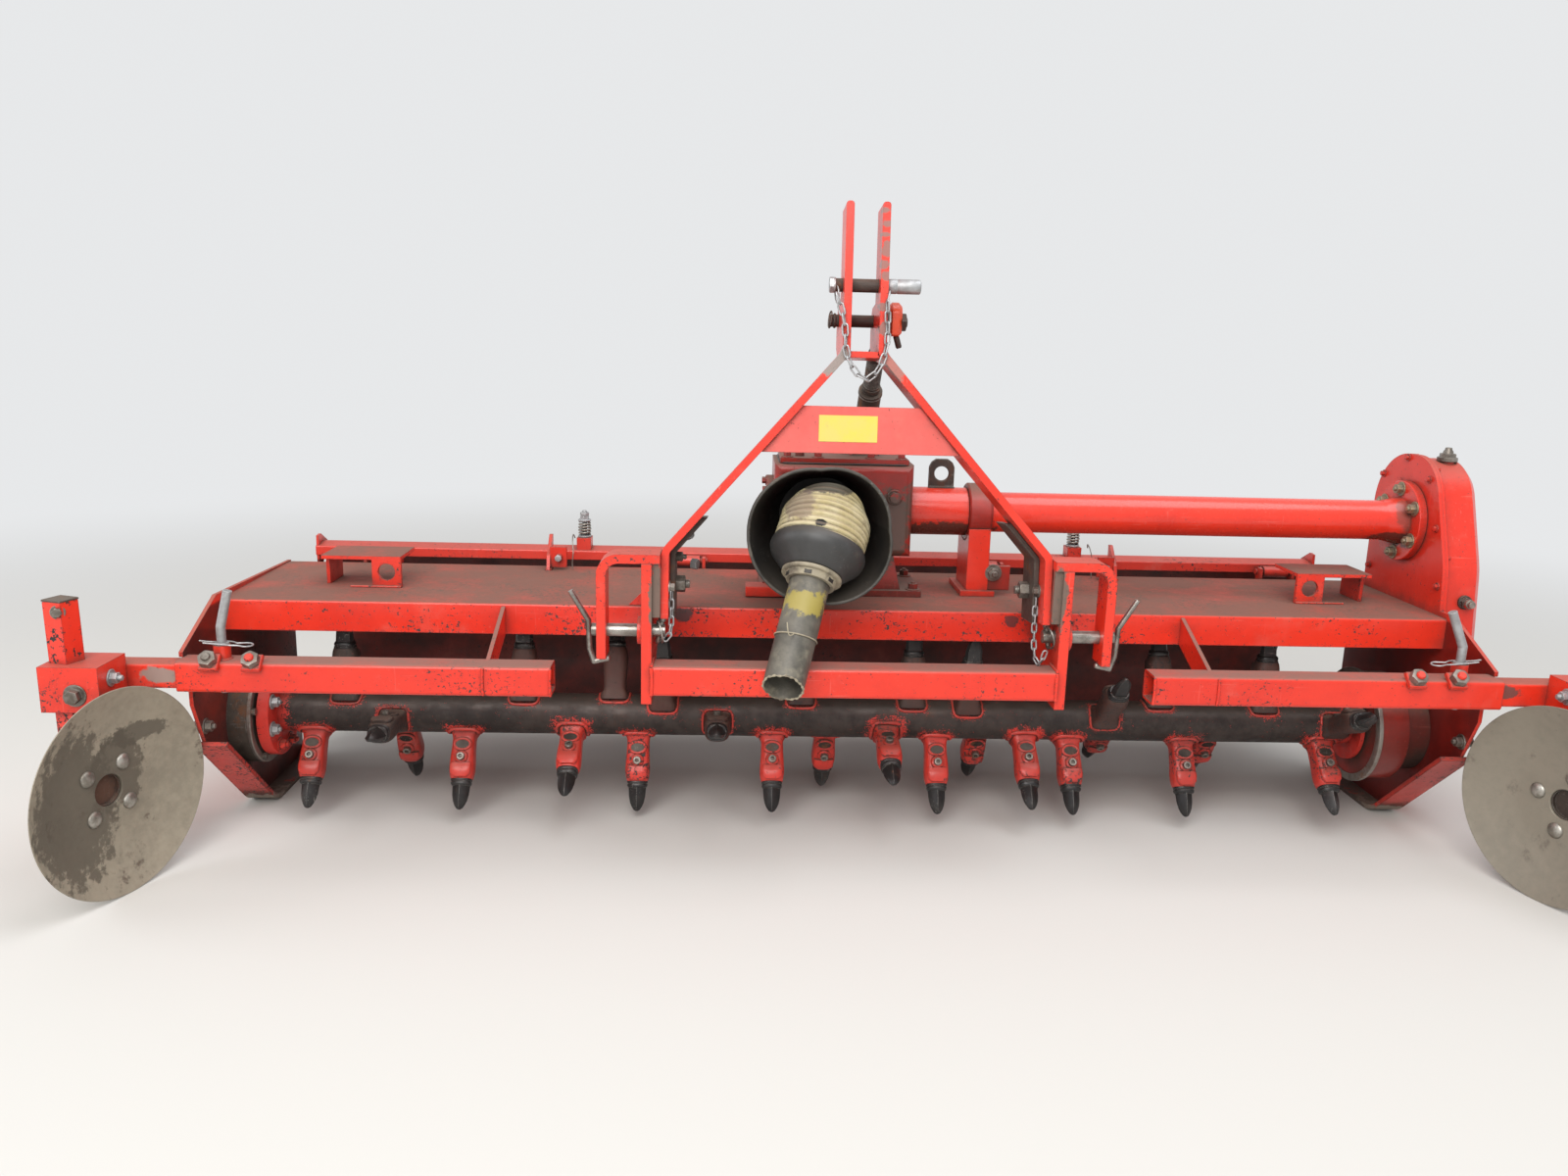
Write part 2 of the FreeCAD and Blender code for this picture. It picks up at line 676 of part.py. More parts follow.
def input_yoke():
    """Input shaft with the fixed fork of the universal joint."""
    shaft = rod_y(input_x, joint_y + 40, neck_front, input_z, 17.5)
    hub = rod_y(input_x, joint_y + 38, joint_y + 60, input_z, 27.0)
    pieces = [shaft, hub, box(input_x - 37, input_x + 37, joint_y + 36, joint_y + 50, input_z - 15, input_z + 15)]
    for x0 in (input_x - 37, input_x + 25):
        pieces.append(box(x0, x0 + 12, joint_y, joint_y + 44, input_z - 15, input_z + 15))
        pieces.append(rod_x(x0, x0 + 12, joint_y, input_z, 15.0))
    return fuse(pieces).cut(rod_x(input_x - 50, input_x + 50, joint_y, input_z, cross_r + shaft_fit))


joint = V(input_x, joint_y, input_z)
way_down = V(swing_x, -cos(radians(hang_deg)), -sin(radians(hang_deg))).normalize()


def along(s):
    return joint + way_down * s


def bellows():
    """Corrugated sleeve over the joint."""
    folds = 3
    step = (cone_start - seat - bellows_start) / folds
    outer = []
    for i in range(folds):
        outer += [(bellows_start + i * step, bellows_r - 7), (bellows_start + (i + 0.5) * step, bellows_r)]
    outer.append((bellows_start + folds * step, bellows_r - 7))
    inner = [(s, r - 4) for s, r in reversed(outer)]
    return turned(outer + inner, joint, way_down)


def cone():
    """Collar and cone of the guard, with the inner wall that the sleeve ends on."""
    r = cone_r
    end_r = guard_r + 17.5
    wall = 5.0
    return turned([(cone_start, r), (cone_start + 8, r), (cone_end - 12, end_r), (cone_end, end_r),
                   (cone_end, end_r - wall), (cone_end - 14, end_r - wall), (cone_start + 6, r - wall),
                   (cone_start + 4, r - wall), (cone_start + 4, bellows_r - 12), (cone_start, bellows_r - 12)],
                  joint, way_down)


def guard_ring():
    start = cone_end + seat
    inner = guard_r + seat
    return turned([(start, guard_r + 16.5), (start + 20, guard_r + 14.5), (start + 20, inner), (start, inner)],
                  joint, way_down)


def guard_tube():
    start, inner = cone_end - 8, guard_r - guard_wall
    return turned([(start, guard_r), (shaft_len, guard_r), (shaft_len, inner), (start, inner)], joint, way_down)


def drive_shaft():
    """Joint pin, moving fork and profile tube inside the guard."""
    pin = rod_x(input_x - 38, input_x + 38, joint_y, input_z, cross_r)
    core = Part.makeSphere(17.0, joint)
    neck = rod(joint, along(70), 12.0)
    hub = rod(along(62), along(cone_end - 6), 31.0)
    flange = rod(along(cone_end - 7), along(cone_end), guard_r - guard_wall - seat)
    tube = rod(along(cone_end - 14), along(shaft_len - 22), 24.0)
    return fuse([pin, core, neck, hub, flange, tube]).cut(rod(along(cone_end + 6), along(shaft_len), 20.0))


def drive_tube():
    """Tube from gearbox to side plate with its collar, clamp ring, lifting eye and end flange."""
    x1 = plate_out - side_t - seat
    eye_z = drive_z + eye_up
    pieces = [rod_x(box_right, x1, drive_y, drive_z, drive_r),
              rod_x(box_right, ring_left, drive_y, drive_z, drive_r + 8.5),
              rod_x(ring_left, ring_right, drive_y, drive_z, ring_r),
              Part.makeCone(drive_r, drive_r + 9, 40, V(x1 - 60, drive_y, drive_z), V(1, 0, 0)),
              rod_x(x1 - 21, x1 - 12, drive_y, drive_z, drive_r + 9),
              rod_x(x1 - 18, x1, drive_y, drive_z, 90.0),
              plate_xz([(eye_x - 28, drive_z + 46), (eye_x - 28, eye_z + 16), (eye_x - 14, eye_z + 32),
                        (eye_x + 14, eye_z + 32), (eye_x + 28, eye_z + 16), (eye_x + 28, drive_z + 46)],
                       drive_y - eye_t / 2, drive_y + eye_t / 2)]
    hollow = rod_x(box_right + 20, x1 - 30, drive_y, drive_z, drive_r - drive_wall)
    return fuse(pieces).cut(hollow).cut(rod_y(eye_x, drive_y - 20, drive_y + 20, eye_z, eye_r))


def tube_saddle():
    """Bracket on the deck under the clamp ring."""
    floor = deck_top + seat
    base = box(ring_left - 14, ring_right + 14, drive_y - 70, drive_y + 70, floor, floor + 12)
    web = box(ring_left, ring_right, drive_y - 60, drive_y + 60, floor + 11, drive_z - 30)
    return fuse([base, web]).cut(rod_x(ring_left - 6, ring_right + 6, drive_y, drive_z, ring_r + seat))


# Rotor

def on_rotor(shape, share, angle):
    """Place a piece drawn along -Z at the rotor's axis: turn it towards the front and move it along."""
    shape = shape.copy()
    shape.rotate(V(0, 0, 0), V(1, 0, 0), -angle)
    shape.translate(V(tube_left + share * (tube_right - tube_left), rotor_y, rotor_z))
    return shape


def holder():
    """Forged holder: welded foot, notch, rounded shoulders and a socket for the tine."""
    w, t, end = holder_w / 2, holder_t / 2, -holder_len
    face = [(-w, -38), (-w, end + 40), (-w + 9, end), (w - 9, end), (w, end + 40), (w, -38)]
    body = plate_xz(face, -t, t)
    side = plate_yz([(-t, -38), (-t + 2, end + 36), (-t + 8, end), (t - 8, end), (t, end + 36), (t, -38)], -w, w)
    notch = box(-12, 12, -t - 1, t - 12, -84, -60)
    socket = Part.makeCylinder(shank_r + seat, 40, V(0, 0, end - 1), V(0, 0, 1))
    return body.common(side).cut(notch).cut(socket)


def tine():
    """Shank, collar and pointed tip, along -Z."""
    def section(z, w, t):
        c = min(w, t) * 0.22
        pts = [(-w + c, -t), (w - c, -t), (w, -t + c), (w, t - c), (w - c, t), (-w + c, t), (-w, t - c), (-w, -t + c)]
        return Part.makePolygon([V(x, y, z) for x, y in pts + pts[:1]])
    top = -holder_len - seat
    shank = Part.makeCylinder(shank_r, 36, V(0, 0, top - 1), V(0, 0, 1))
    tip = Part.makeLoft([section(top, 21, 17), section(top - 12, 20, 17), section(top - 36, 17.5, 13),
                         section(8 - tip_r, 11, 7), section(0.5 - tip_r, 3.5, 2)], True, True)
    return shank.fuse(tip)


def raked(shape):
    """Lean a tine or holder forward in the turning direction, about the tube's surface."""
    shape = shape.copy()
    shape.rotate(V(0, 0, -tube_r), V(1, 0, 0), -rake)
    return shape


def rotor_tube():
    ends = [rod_x(rotor_left, tube_left, rotor_y, rotor_z, flange_left_r),
            rod_x(tube_right, rotor_right, rotor_y, rotor_z, flange_right_r)]
    tube = rod_x(tube_left, tube_right, rotor_y, rotor_z, tube_r)
    hollow = rod_x(tube_left + 2, tube_right - 2, rotor_y, rotor_z, tube_r - tube_wall)
    stubs = [rod_x(-plate_out + 2, rotor_left + 5, rotor_y, rotor_z, stub_r),
             rod_x(rotor_right - 4, plate_out - 2, rotor_y, rotor_z, stub_r)]
    core = rod_x(tube_left, tube_right, rotor_y, rotor_z, tube_r - 2)
    arm = raked(holder())
    arms = [on_rotor(arm, share, angle).cut(core) for share, angle in tines]
    return fuse([fuse([tube] + ends).cut(hollow)] + stubs + arms)


def rotor_tines():
    one = raked(tine())
    return Part.makeCompound([on_rotor(one, share, angle) for share, angle in tines])


def bearing(side):
    """Bearing housing on the inner face of a side plate, round a rotor stub."""
    x0 = plate_out - side_t
    bore = rod_x(-plate_out, plate_out, rotor_y, rotor_z, stub_r + shaft_fit)
    if side < 0:
        return rod_x(-x0, -x0 + bearing_left_d, rotor_y, rotor_z, bearing_left_r).cut(bore)
    x1 = x0 - bearing_right_d
    rings = [rod_x(x1, x1 + 8, rotor_y, rotor_z, bearing_right_r + 7), rod_x(x1, x0 - 58, rotor_y, rotor_z, bearing_right_r),
             rod_x(x0 - 60, x0, rotor_y, rotor_z, bearing_right_r - 22)]
    return fuse(rings).cut(bore)


# Tailgate

def tailgate():
    """Folded board behind the rotor: lip, top slope and curved back, with its hinge tubes."""
    x0, x1, t = gate_left, gate_right, gate_t
    fold_z, belly = hinge_z + 28, gate_low + 188
    out = [(lip_y, hinge_z - 6), (lip_y, hinge_z + 16), (gate_fold, fold_z), (gate_rear - 13, belly),
           (gate_rear, gate_low)]
    back = [(gate_rear - t, gate_low), (gate_rear - 13 - t, belly - 2), (gate_fold - 4, fold_z - t),
            (lip_y + t, hinge_z + 13), (lip_y + t, hinge_z - 6)]
    pieces = [rounded_yz(out + back, [0, 4, 40, 300, 0, 0, 295, 35, 1, 0], x0, x1)]
    for x in (x0 + 1, x1 - 7):
        pieces.append(plate_yz([(lip_y + 2, hinge_z - 4), (lip_y + 4, hinge_z + 40), (lip_y + 22, hinge_z + 42),
                                (gate_fold - 2, fold_z - 8), (lip_y + 6, hinge_z - 62)], x, x + 6))
    for x in knuckles:
        pieces.append(rod_x(x, x + knuckle_w, hinge_y, hinge_z, knuckle_r))
        pieces.append(box(x, x + knuckle_w, hinge_y + 2, lip_y + 2, hinge_z - 6, hinge_z + 10))
    for x in adjuster_x:
        pieces.append(box(x - 17, x + 17, adjuster_y - 20, adjuster_y + 20, hinge_z + 14, adjuster_z))
    shape = fuse(pieces)
    return shape.cut(Part.makeCompound([rod_x(x - 1, x + knuckle_w + 1, hinge_y, hinge_z, hinge_r + pin_fit)
                                        for x in knuckles]))


def hinge_rods():
    """Hinge rods held by ears on the deck's rear edge."""
    rear = deck_rear + seat
    profile = [(rear, deck_top - 26), (rear, hinge_z + 10), (hinge_y - 4, hinge_z + 12), (hinge_y + 8, hinge_z + 9),
               (hinge_y + 8, hinge_z - 6), (hinge_y, deck_top - 26)]
    hinges = []
    for x in knuckles:
        ears = [plate_yz(profile, e, e + ear_t) for e in (x - ear_gap - ear_t, x + knuckle_w + ear_gap)]
        pin = rod_x(x - ear_gap - ear_t - 4, x + knuckle_w + ear_gap + ear_t + 4, hinge_y, hinge_z, hinge_r)
        hinges.append(fuse(ears + [pin]))
    return Part.makeCompound(hinges)


def gate_springs():
    """Threaded rods with springs on the tailgate's blocks."""
    sleeves = [(6, 66, 0), (14, 34, 5), (16, 5.2, 0), (16, 5, 39), (10, 9, 44)]   # radius, length, height
    return Part.makeCompound([fuse([Part.makeCylinder(r, h, V(x, adjuster_y, adjuster_z + up))
                                    for r, h, up in sleeves]) for x in adjuster_x])


def adjuster_bracket(side):
    """Upright plate on the deck beside a spring, with its bolted link."""
    x = -adjuster_plate_x
    plate = plate_yz([(deck_rear - 60, deck_top + seat), (deck_rear - 50, hinge_z + 20),
                      (deck_rear - 6, hinge_z + 62), (deck_rear + 4, hinge_z + 62),
                      (deck_rear - 2, deck_top + seat)], x - 4, x + 4)
    link = box(x + 3, x + 42, deck_rear - 48, deck_rear - 40, deck_top + 6, hinge_z + 40)
    bolt = rod_y(x + 24, deck_rear - 56, deck_rear - 47, hinge_z + 16, 8)
    return mirror_x(fuse([plate, link, bolt]), side)


def deck_lug(side):
    """Bent bracket on the deck: top plate, front leg with a hole and a thin end leg."""
    z0, z1 = deck_top + seat, deck_top + lug_h
    y0, y1 = lug_front, lug_front + lug_d
    x0 = lug_left if side < 0 else lug_right
    x1 = x0 + lug_w
    leg, end = (x1 - lug_leg_w, x0) if side < 0 else (x0, x1 - lug_t)
    pieces = [box(x0, x1, y0, y1, z1 - lug_t, z1), box(leg, leg + lug_leg_w, y0, y0 + lug_t, z0, z1),
              box(end, end + lug_t, y0 + 30, y1, z0, z1)]
    return fuse(pieces).cut(rod_y(leg + lug_leg_w / 2, y0 - 2, y0 + lug_t + 2, z0 + lug_h / 2, lug_hole_r))


# Side discs

def disc_pose(side):
    """Centre and outward axis of a disc, whose front edge points outwards."""
    toe = radians(disc_toe)
    return V(side * disc_x, disc_y, disc_z), V(side * cos(toe), sin(toe), 0)


def disc(side):
    """Plain dished disc with a hole over the hub cap."""
    r, sag = disc_r, disc_dish
    rise = [(0, 90), (-sag * 0.15, 120), (-sag * 0.45, 152), (-sag * 0.74, 176), (-sag, r - 1)]
    back = [(-sag + 2.5, r)] + [(s + disc_t, radius) for s, radius in rise[-2::-1]]
    return turned([(0, disc_hole_r)] + rise + back + [(disc_t, disc_hole_r)], *disc_pose(side))


def hub(side):
    """Hub that turns with the disc on its stub axle."""
    t, bore, floor = disc_t + seat, axle_r + shaft_fit, disc_t + seat + hub_recess
    return turned([(t, disc_hole_r - 2), (t, hub_r), (t + 9, hub_r), (t + 9, 40), (hub_end, 36), (hub_end, bore),
                   (floor + 4, bore), (floor + 4, 0), (floor, 0), (floor, disc_hole_r - 2)], *disc_pose(side))


def stalk_bar(side, w):
    """Square bar from beside the hub up through the clamp."""
    centre, axis = disc_pose(side)
    foot = centre + axis * stalk_out
    way = (V(side * stalk_top.x, stalk_top.y, stalk_top.z) - foot).normalize()
    top = V(side * stalk_top.x, stalk_top.y, stalk_top.z)
    bar = box(-w / 2, w / 2, -w / 2, w / 2, -24, (top - foot).Length)
    bar.Placement = FreeCAD.Placement(foot, FreeCAD.Rotation(axis, V(0, 0, 0), way, "ZXY"))
    return bar


def stalk(side):
    """Stalk with the stub axle and shoulder of a disc."""
    centre, axis = disc_pose(side)
    axle = rod(centre + axis * (disc_t + seat + hub_recess + 4 + seat), centre + axis * stalk_out, axle_r)
    shoulder = rod(centre + axis * (hub_end + 1.5), centre + axis * stalk_out, 20.0)
    return fuse([stalk_bar(side, stalk_w), axle, shoulder])


def clamp(side):
    """Block on the extension's front face, bored square for the stalk."""
    block = box(-clamp_out, -clamp_in, clamp_rear - clamp_d, clamp_rear, clamp_low, clamp_high)
    return mirror_x(block, side).cut(stalk_bar(side, stalk_w + 2 * stalk_gap))


def build():
    parts = {
        "deck": deck(),
        "side_plate_left": side_plate_left(),
        "side_plate_right": side_plate_right(),
        "gear_case": gear_case(),
        "front_crossbeam": crossbeam(),
        "mast_spacer": mast_spacer(),
        "mast_cross_plate": cross_plate(),
        "top_link_pin": top_link_pin(),
        "strut_pin": strut_pin(),
        "rear_strut": rear_strut(),
        "gearbox": gearbox(),
        "gearbox_cover": gearbox_cover(),
        "pto_bell": pto_bell(),
        "input_yoke": input_yoke(),
        "driveline_bellows": bellows(),
        "driveline_cone": cone(),
        "driveline_guard_ring": guard_ring(),
        "driveline_guard_tube": guard_tube(),
        "driveline_shaft": drive_shaft(),
        "drive_tube": drive_tube(),
        "drive_tube_saddle": tube_saddle(),
        "rotor_tube": rotor_tube(),
        "rotor_tines": rotor_tines(),
        "tailgate": tailgate(),
        "tailgate_hinges": hinge_rods(),
        "tailgate_springs": gate_springs(),
    }
    sided = {
        "skid": skid, "side_beam": side_beam, "extension_bar": extension, "lock_pin": lock_pin,
        "hitch_bracket": hitch_bracket, "hitch_pin": hitch_pin, "mast_bar": mast_side,
        "rotor_bearing": bearing, "deck_lug": deck_lug, "adjuster_bracket": adjuster_bracket,
        "disc": disc, "disc_hub": hub, "disc_stalk": stalk, "disc_clamp": clamp,
    }
    for name, make in sided.items():
        parts[name + "_left"] = make(-1)
        parts[name + "_right"] = make(1)
    return parts


def home(parts):
    """Shift that puts the origin under the middle of the whole machine."""
    boxes = [shape.optimalBoundingBox(False, False) for shape in parts.values()]
    x = (min(b.XMin for b in boxes) + max(b.XMax for b in boxes)) / 2
    y = (min(b.YMin for b in boxes) + max(b.YMax for b in boxes)) / 2
    return V(-x, -y, -min(b.ZMin for b in boxes))


def main():
    os.makedirs("parts", exist_ok=True)
    parts = build()
    shift = home(parts)
    print("home shift", shift)
    for name, shape in parts.items():
        shape.translate(shift)
        shape.exportStep("parts/" + name + ".step")


main()
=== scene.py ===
import math
from math import cos, pi, radians, sin, tan

import bmesh
import bpy
import numpy as np
from mathutils import Matrix, Vector


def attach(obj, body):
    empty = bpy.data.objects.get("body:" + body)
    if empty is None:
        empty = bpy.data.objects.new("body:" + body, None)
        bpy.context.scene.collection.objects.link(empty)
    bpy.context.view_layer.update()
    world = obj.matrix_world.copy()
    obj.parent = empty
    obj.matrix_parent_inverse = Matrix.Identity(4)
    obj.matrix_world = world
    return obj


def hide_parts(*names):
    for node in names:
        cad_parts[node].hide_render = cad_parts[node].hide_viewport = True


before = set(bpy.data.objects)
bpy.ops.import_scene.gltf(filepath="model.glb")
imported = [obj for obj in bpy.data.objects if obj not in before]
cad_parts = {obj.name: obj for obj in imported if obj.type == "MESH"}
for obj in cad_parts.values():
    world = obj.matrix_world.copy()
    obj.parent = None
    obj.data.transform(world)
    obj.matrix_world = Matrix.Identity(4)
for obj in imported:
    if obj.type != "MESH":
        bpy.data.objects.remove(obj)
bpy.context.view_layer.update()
scene = bpy.context.scene
print("frame loaded:", len(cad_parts), "nodes")

# Everything below is drawn in millimetres from the front edges of the lower hitch plates,
# as the CAD is, and makePiece moves it to the frame's origin in metres.
rearShift = 254.21148115856673


def toFrame(p):
    return Vector((p[0] / 1000, (p[1] - rearShift) / 1000, p[2] / 1000))


# Camera and studio

cameraView = {
    "place": (-240, -2195, 1068),
    "lens": 27.27,          # on a sensor 36 mm wide
    "yaw": 2.54,            # to the right
    "pitch": 12.6,          # down
    "roll": 1.58,
}

studio = {
    "floorColour": (0.62, 0.61, 0.585, 1),
    "worldColour": (0.94, 0.93, 0.91, 1),
    "worldLight": 0.55,
    "backdrop": (0.8, 0.81, 0.82, 1),
    "lamps": [              # name, place in metres, size, watts, colour
        ("doorway", (-1.2, -4.6, 4.2), 5.0, 330, (1.0, 0.98, 0.95)),
        ("skylight", (1.6, -0.8, 5.2), 4.0, 130, (0.93, 0.96, 1.0)),
        ("leftFill", (-5.2, -1.0, 2.2), 3.0, 60, (0.95, 0.97, 1.0)),
    ],
}


def addCamera(view):
    yaw, pitch, roll = (radians(view[k]) for k in ("yaw", "pitch", "roll"))
    ahead = Vector((sin(yaw) * cos(pitch), cos(yaw) * cos(pitch), -sin(pitch)))
    right = Vector((cos(yaw), -sin(yaw), 0))
    up = right.cross(ahead)
    rolledRight = right * cos(roll) + up * sin(roll)
    rolledUp = up * cos(roll) - right * sin(roll)
    data = bpy.data.cameras.new("camera")
    data.lens, data.sensor_width = view["lens"], 36
    data.clip_end = 200
    camera = bpy.data.objects.new("camera", data)
    turn = Matrix((rolledRight, rolledUp, -ahead)).transposed().to_4x4()
    camera.matrix_world = Matrix.Translation(toFrame(view["place"])) @ turn
    scene.collection.objects.link(camera)
    scene.camera = camera


def addLamp(name, place, size, watts, colour):
    data = bpy.data.lights.new(name, "AREA")
    data.shape, data.size, data.energy, data.color = "DISK", size, watts, colour
    lamp = bpy.data.objects.new(name, data)
    lamp.location = place
    lamp.rotation_euler = (Vector((0, -0.1, 0.45)) - lamp.location).to_track_quat("-Z", "Y").to_euler()
    scene.collection.objects.link(lamp)


# Node helpers

def feed(tree, socket, value):
    if isinstance(value, bpy.types.NodeSocket):
        tree.links.new(value, socket)
    else:
        socket.default_value = value


def addNode(tree, kind, values=None, **settings):
    node = tree.nodes.new("ShaderNode" + kind)
    for key, value in settings.items():
        setattr(node, key, value)
    for key, value in (values or {}).items():
        feed(tree, node.inputs[key], value)
    return node


def maths(tree, operation, a, b=0.0, clamp=False):
    return addNode(tree, "Math", {0: a, 1: b}, operation=operation, use_clamp=clamp).outputs[0]


def spread(tree, value, low, high, outLow=0.0, outHigh=1.0):
    node = addNode(tree, "MapRange", {"Value": value, "From Min": low, "From Max": high,
                                      "To Min": outLow, "To Max": outHigh}, interpolation_type="SMOOTHSTEP")
    return node.outputs[0]


def mixColour(tree, factor, a, b, kind="MIX"):
    node = addNode(tree, "Mix", {0: factor, 6: a, 7: b}, data_type="RGBA", blend_type=kind)
    return node.outputs[2]


def noise(tree, vector, scale, detail=3.0, roughness=0.55):
    return addNode(tree, "TexNoise", {"Vector": vector, "Scale": scale, "Detail": detail,
                                      "Roughness": roughness}).outputs[0]


def newGroup(name, inputs, outputs):
    tree = bpy.data.node_groups.new(name, "ShaderNodeTree")
    for socketName, kind, value in inputs:
        socket = tree.interface.new_socket(name=socketName, in_out="INPUT", socket_type="NodeSocket" + kind)
        if value is not None:
            socket.default_value = value
    for socketName, kind in outputs:
        tree.interface.new_socket(name=socketName, in_out="OUTPUT", socket_type="NodeSocket" + kind)
    return tree, tree.nodes.new("NodeGroupInput").outputs, tree.nodes.new("NodeGroupOutput").inputs


def placeGroup(tree, group, **values):
    node = tree.nodes.new("ShaderNodeGroup")
    node.node_tree = group
    for key, value in values.items():
        feed(tree, node.inputs[key], value)
    return node.outputs


# Shared effects

def buildEdgeWear():
    # Outer and inner corners, broken up by noise; Rounded is the normal of the softened corner.
    tree, given, put = newGroup("edge wear", [("Radius", "Float", 0.004), ("Scale", "Float", 60.0),
                                              ("Low", "Float", 0.1), ("High", "Float", 0.3)],
                                [("Edge", "Float"), ("Rounded", "Vector")])
    place = addNode(tree, "TexCoord").outputs["Object"]
    bevel = addNode(tree, "Bevel", {"Radius": given["Radius"]}, samples=4)
    true = addNode(tree, "NewGeometry").outputs["Normal"]
    dot = addNode(tree, "VectorMath", {0: bevel.outputs[0], 1: true}, operation="DOT_PRODUCT").outputs["Value"]
    corner = maths(tree, "SUBTRACT", 1.0, dot)
    rough = maths(tree, "MULTIPLY", maths(tree, "SUBTRACT", noise(tree, place, given["Scale"], 4), 0.5), 0.5)
    feed(tree, put["Edge"], spread(tree, maths(tree, "ADD", corner, rough), given["Low"], given["High"]))
    feed(tree, put["Rounded"], bevel.outputs[0])
    return tree


def buildChipSpots():
    # Small ragged chips, more of them where the slow noise is high.
    tree, given, put = newGroup("chip spots", [("Scale", "Float", 90.0), ("Share", "Float", 0.25)],
                                [("Chips", "Float")])
    place = addNode(tree, "TexCoord").outputs["Object"]
    specks = noise(tree, place, given["Scale"], 3.5, 0.72)
    crowd = spread(tree, noise(tree, place, 6.0, 4, 0.6), 0.4, 0.68, 0.2, 1.5)
    share = maths(tree, "MULTIPLY", maths(tree, "MULTIPLY", given["Share"], crowd), 0.45)
    limit = maths(tree, "MAXIMUM", maths(tree, "SUBTRACT", 0.70, share), 0.555)
    above = maths(tree, "SUBTRACT", specks, limit)
    feed(tree, put["Chips"], spread(tree, above, 0.0, 0.012))
    return tree


def buildDustFall():
    # Dust that lies on faces that look up, thinner where something rubbed.
    tree, given, put = newGroup("dust fall", [("Amount", "Float", 0.6), ("Scale", "Float", 7.0),
                                              ("Start", "Float", 0.35)], [("Dust", "Float")])
    coords = addNode(tree, "TexCoord")
    up = addNode(tree, "SeparateXYZ", {0: coords.outputs["Normal"]}).outputs[2]
    lying = spread(tree, up, given["Start"], 0.95)
    coarse = noise(tree, coords.outputs["Object"], given["Scale"], 6, 0.62)
    fine = noise(tree, coords.outputs["Object"], 110.0, 3, 0.6)
    thin = maths(tree, "ADD", maths(tree, "MULTIPLY", coarse, 0.8), maths(tree, "MULTIPLY", fine, 0.28))
    cover = maths(tree, "MULTIPLY", lying, spread(tree, thin, 0.22, 0.62, 0.55, 1.0))
    feed(tree, put["Dust"], maths(tree, "MULTIPLY", cover, given["Amount"]))
    return tree


def buildCornerGrimeShade():
    # Dirt and painted shade in corners and under things, darker where ambient occlusion finds nearby surfaces.
    tree, given, put = newGroup("corner dirt and painted shade", [("Reach", "Float", 0.03), ("Amount", "Float", 0.7),
                                                 ("Scale", "Float", 24.0)], [("GrimeShade", "Float")])
    place = addNode(tree, "TexCoord").outputs["Object"]
    shade = addNode(tree, "AmbientOcclusion", {"Distance": given["Reach"]}, samples=4).outputs["AO"]
    closed = maths(tree, "SUBTRACT", 1.0, shade)
    broken = maths(tree, "MULTIPLY", maths(tree, "SUBTRACT", noise(tree, place, given["Scale"], 4, 0.6), 0.5), 0.7)
    mask = spread(tree, maths(tree, "ADD", closed, broken), 0.12, 0.75)
    feed(tree, put["GrimeShade"], maths(tree, "MULTIPLY", mask, given["Amount"], True))
    return tree


def buildDrift():
    # Slow change between two tones with a finer mottle on top.
    tree, given, put = newGroup("tone drift", [("First", "Color", (0.8, 0.1, 0.1, 1)),
                                               ("Second", "Color", (0.5, 0.05, 0.05, 1)),
                                               ("Scale", "Float", 3.0), ("Mottle", "Float", 0.3)],
                                [("Colour", "Color"), ("Tone", "Float")])
    place = addNode(tree, "TexCoord").outputs["Object"]
    slow = noise(tree, place, given["Scale"], 5, 0.6)
    fast = noise(tree, place, 55.0, 5, 0.65)
    fastShare = maths(tree, "MULTIPLY", maths(tree, "SUBTRACT", fast, 0.5), given["Mottle"])
    tone = spread(tree, maths(tree, "ADD", slow, fastShare), 0.3, 0.7)
    feed(tree, put["Colour"], mixColour(tree, tone, given["First"], given["Second"]))
    feed(tree, put["Tone"], tone)
    return tree


def buildScratches():
    # Long fine scratches in one direction, and short crossing ones.
    tree, given, put = newGroup("scratches", [("Scale", "Float", 6.0), ("Amount", "Float", 0.5)],
                                [("Scratch", "Float")])
    place = addNode(tree, "TexCoord").outputs["Object"]
    masks = []
    for squeeze, turn in (((0.05, 1, 1), 0.5), ((1, 0.06, 0.9), 0.9), ((1, 1, 0.05), 0.3)):
        mapped = addNode(tree, "Mapping", {"Vector": place, "Scale": squeeze, "Rotation": (turn, turn, 0.2)})
        lines = noise(tree, mapped.outputs[0], maths(tree, "MULTIPLY", given["Scale"], 40.0), 2, 0.5)
        where = spread(tree, noise(tree, place, given["Scale"], 2), 0.5, 0.68)
        masks.append(maths(tree, "MULTIPLY", spread(tree, lines, 0.66, 0.72), where))
    most = maths(tree, "MAXIMUM", masks[0], maths(tree, "MAXIMUM", masks[1], masks[2]))
    feed(tree, put["Scratch"], maths(tree, "MULTIPLY", most, given["Amount"]))
    return tree


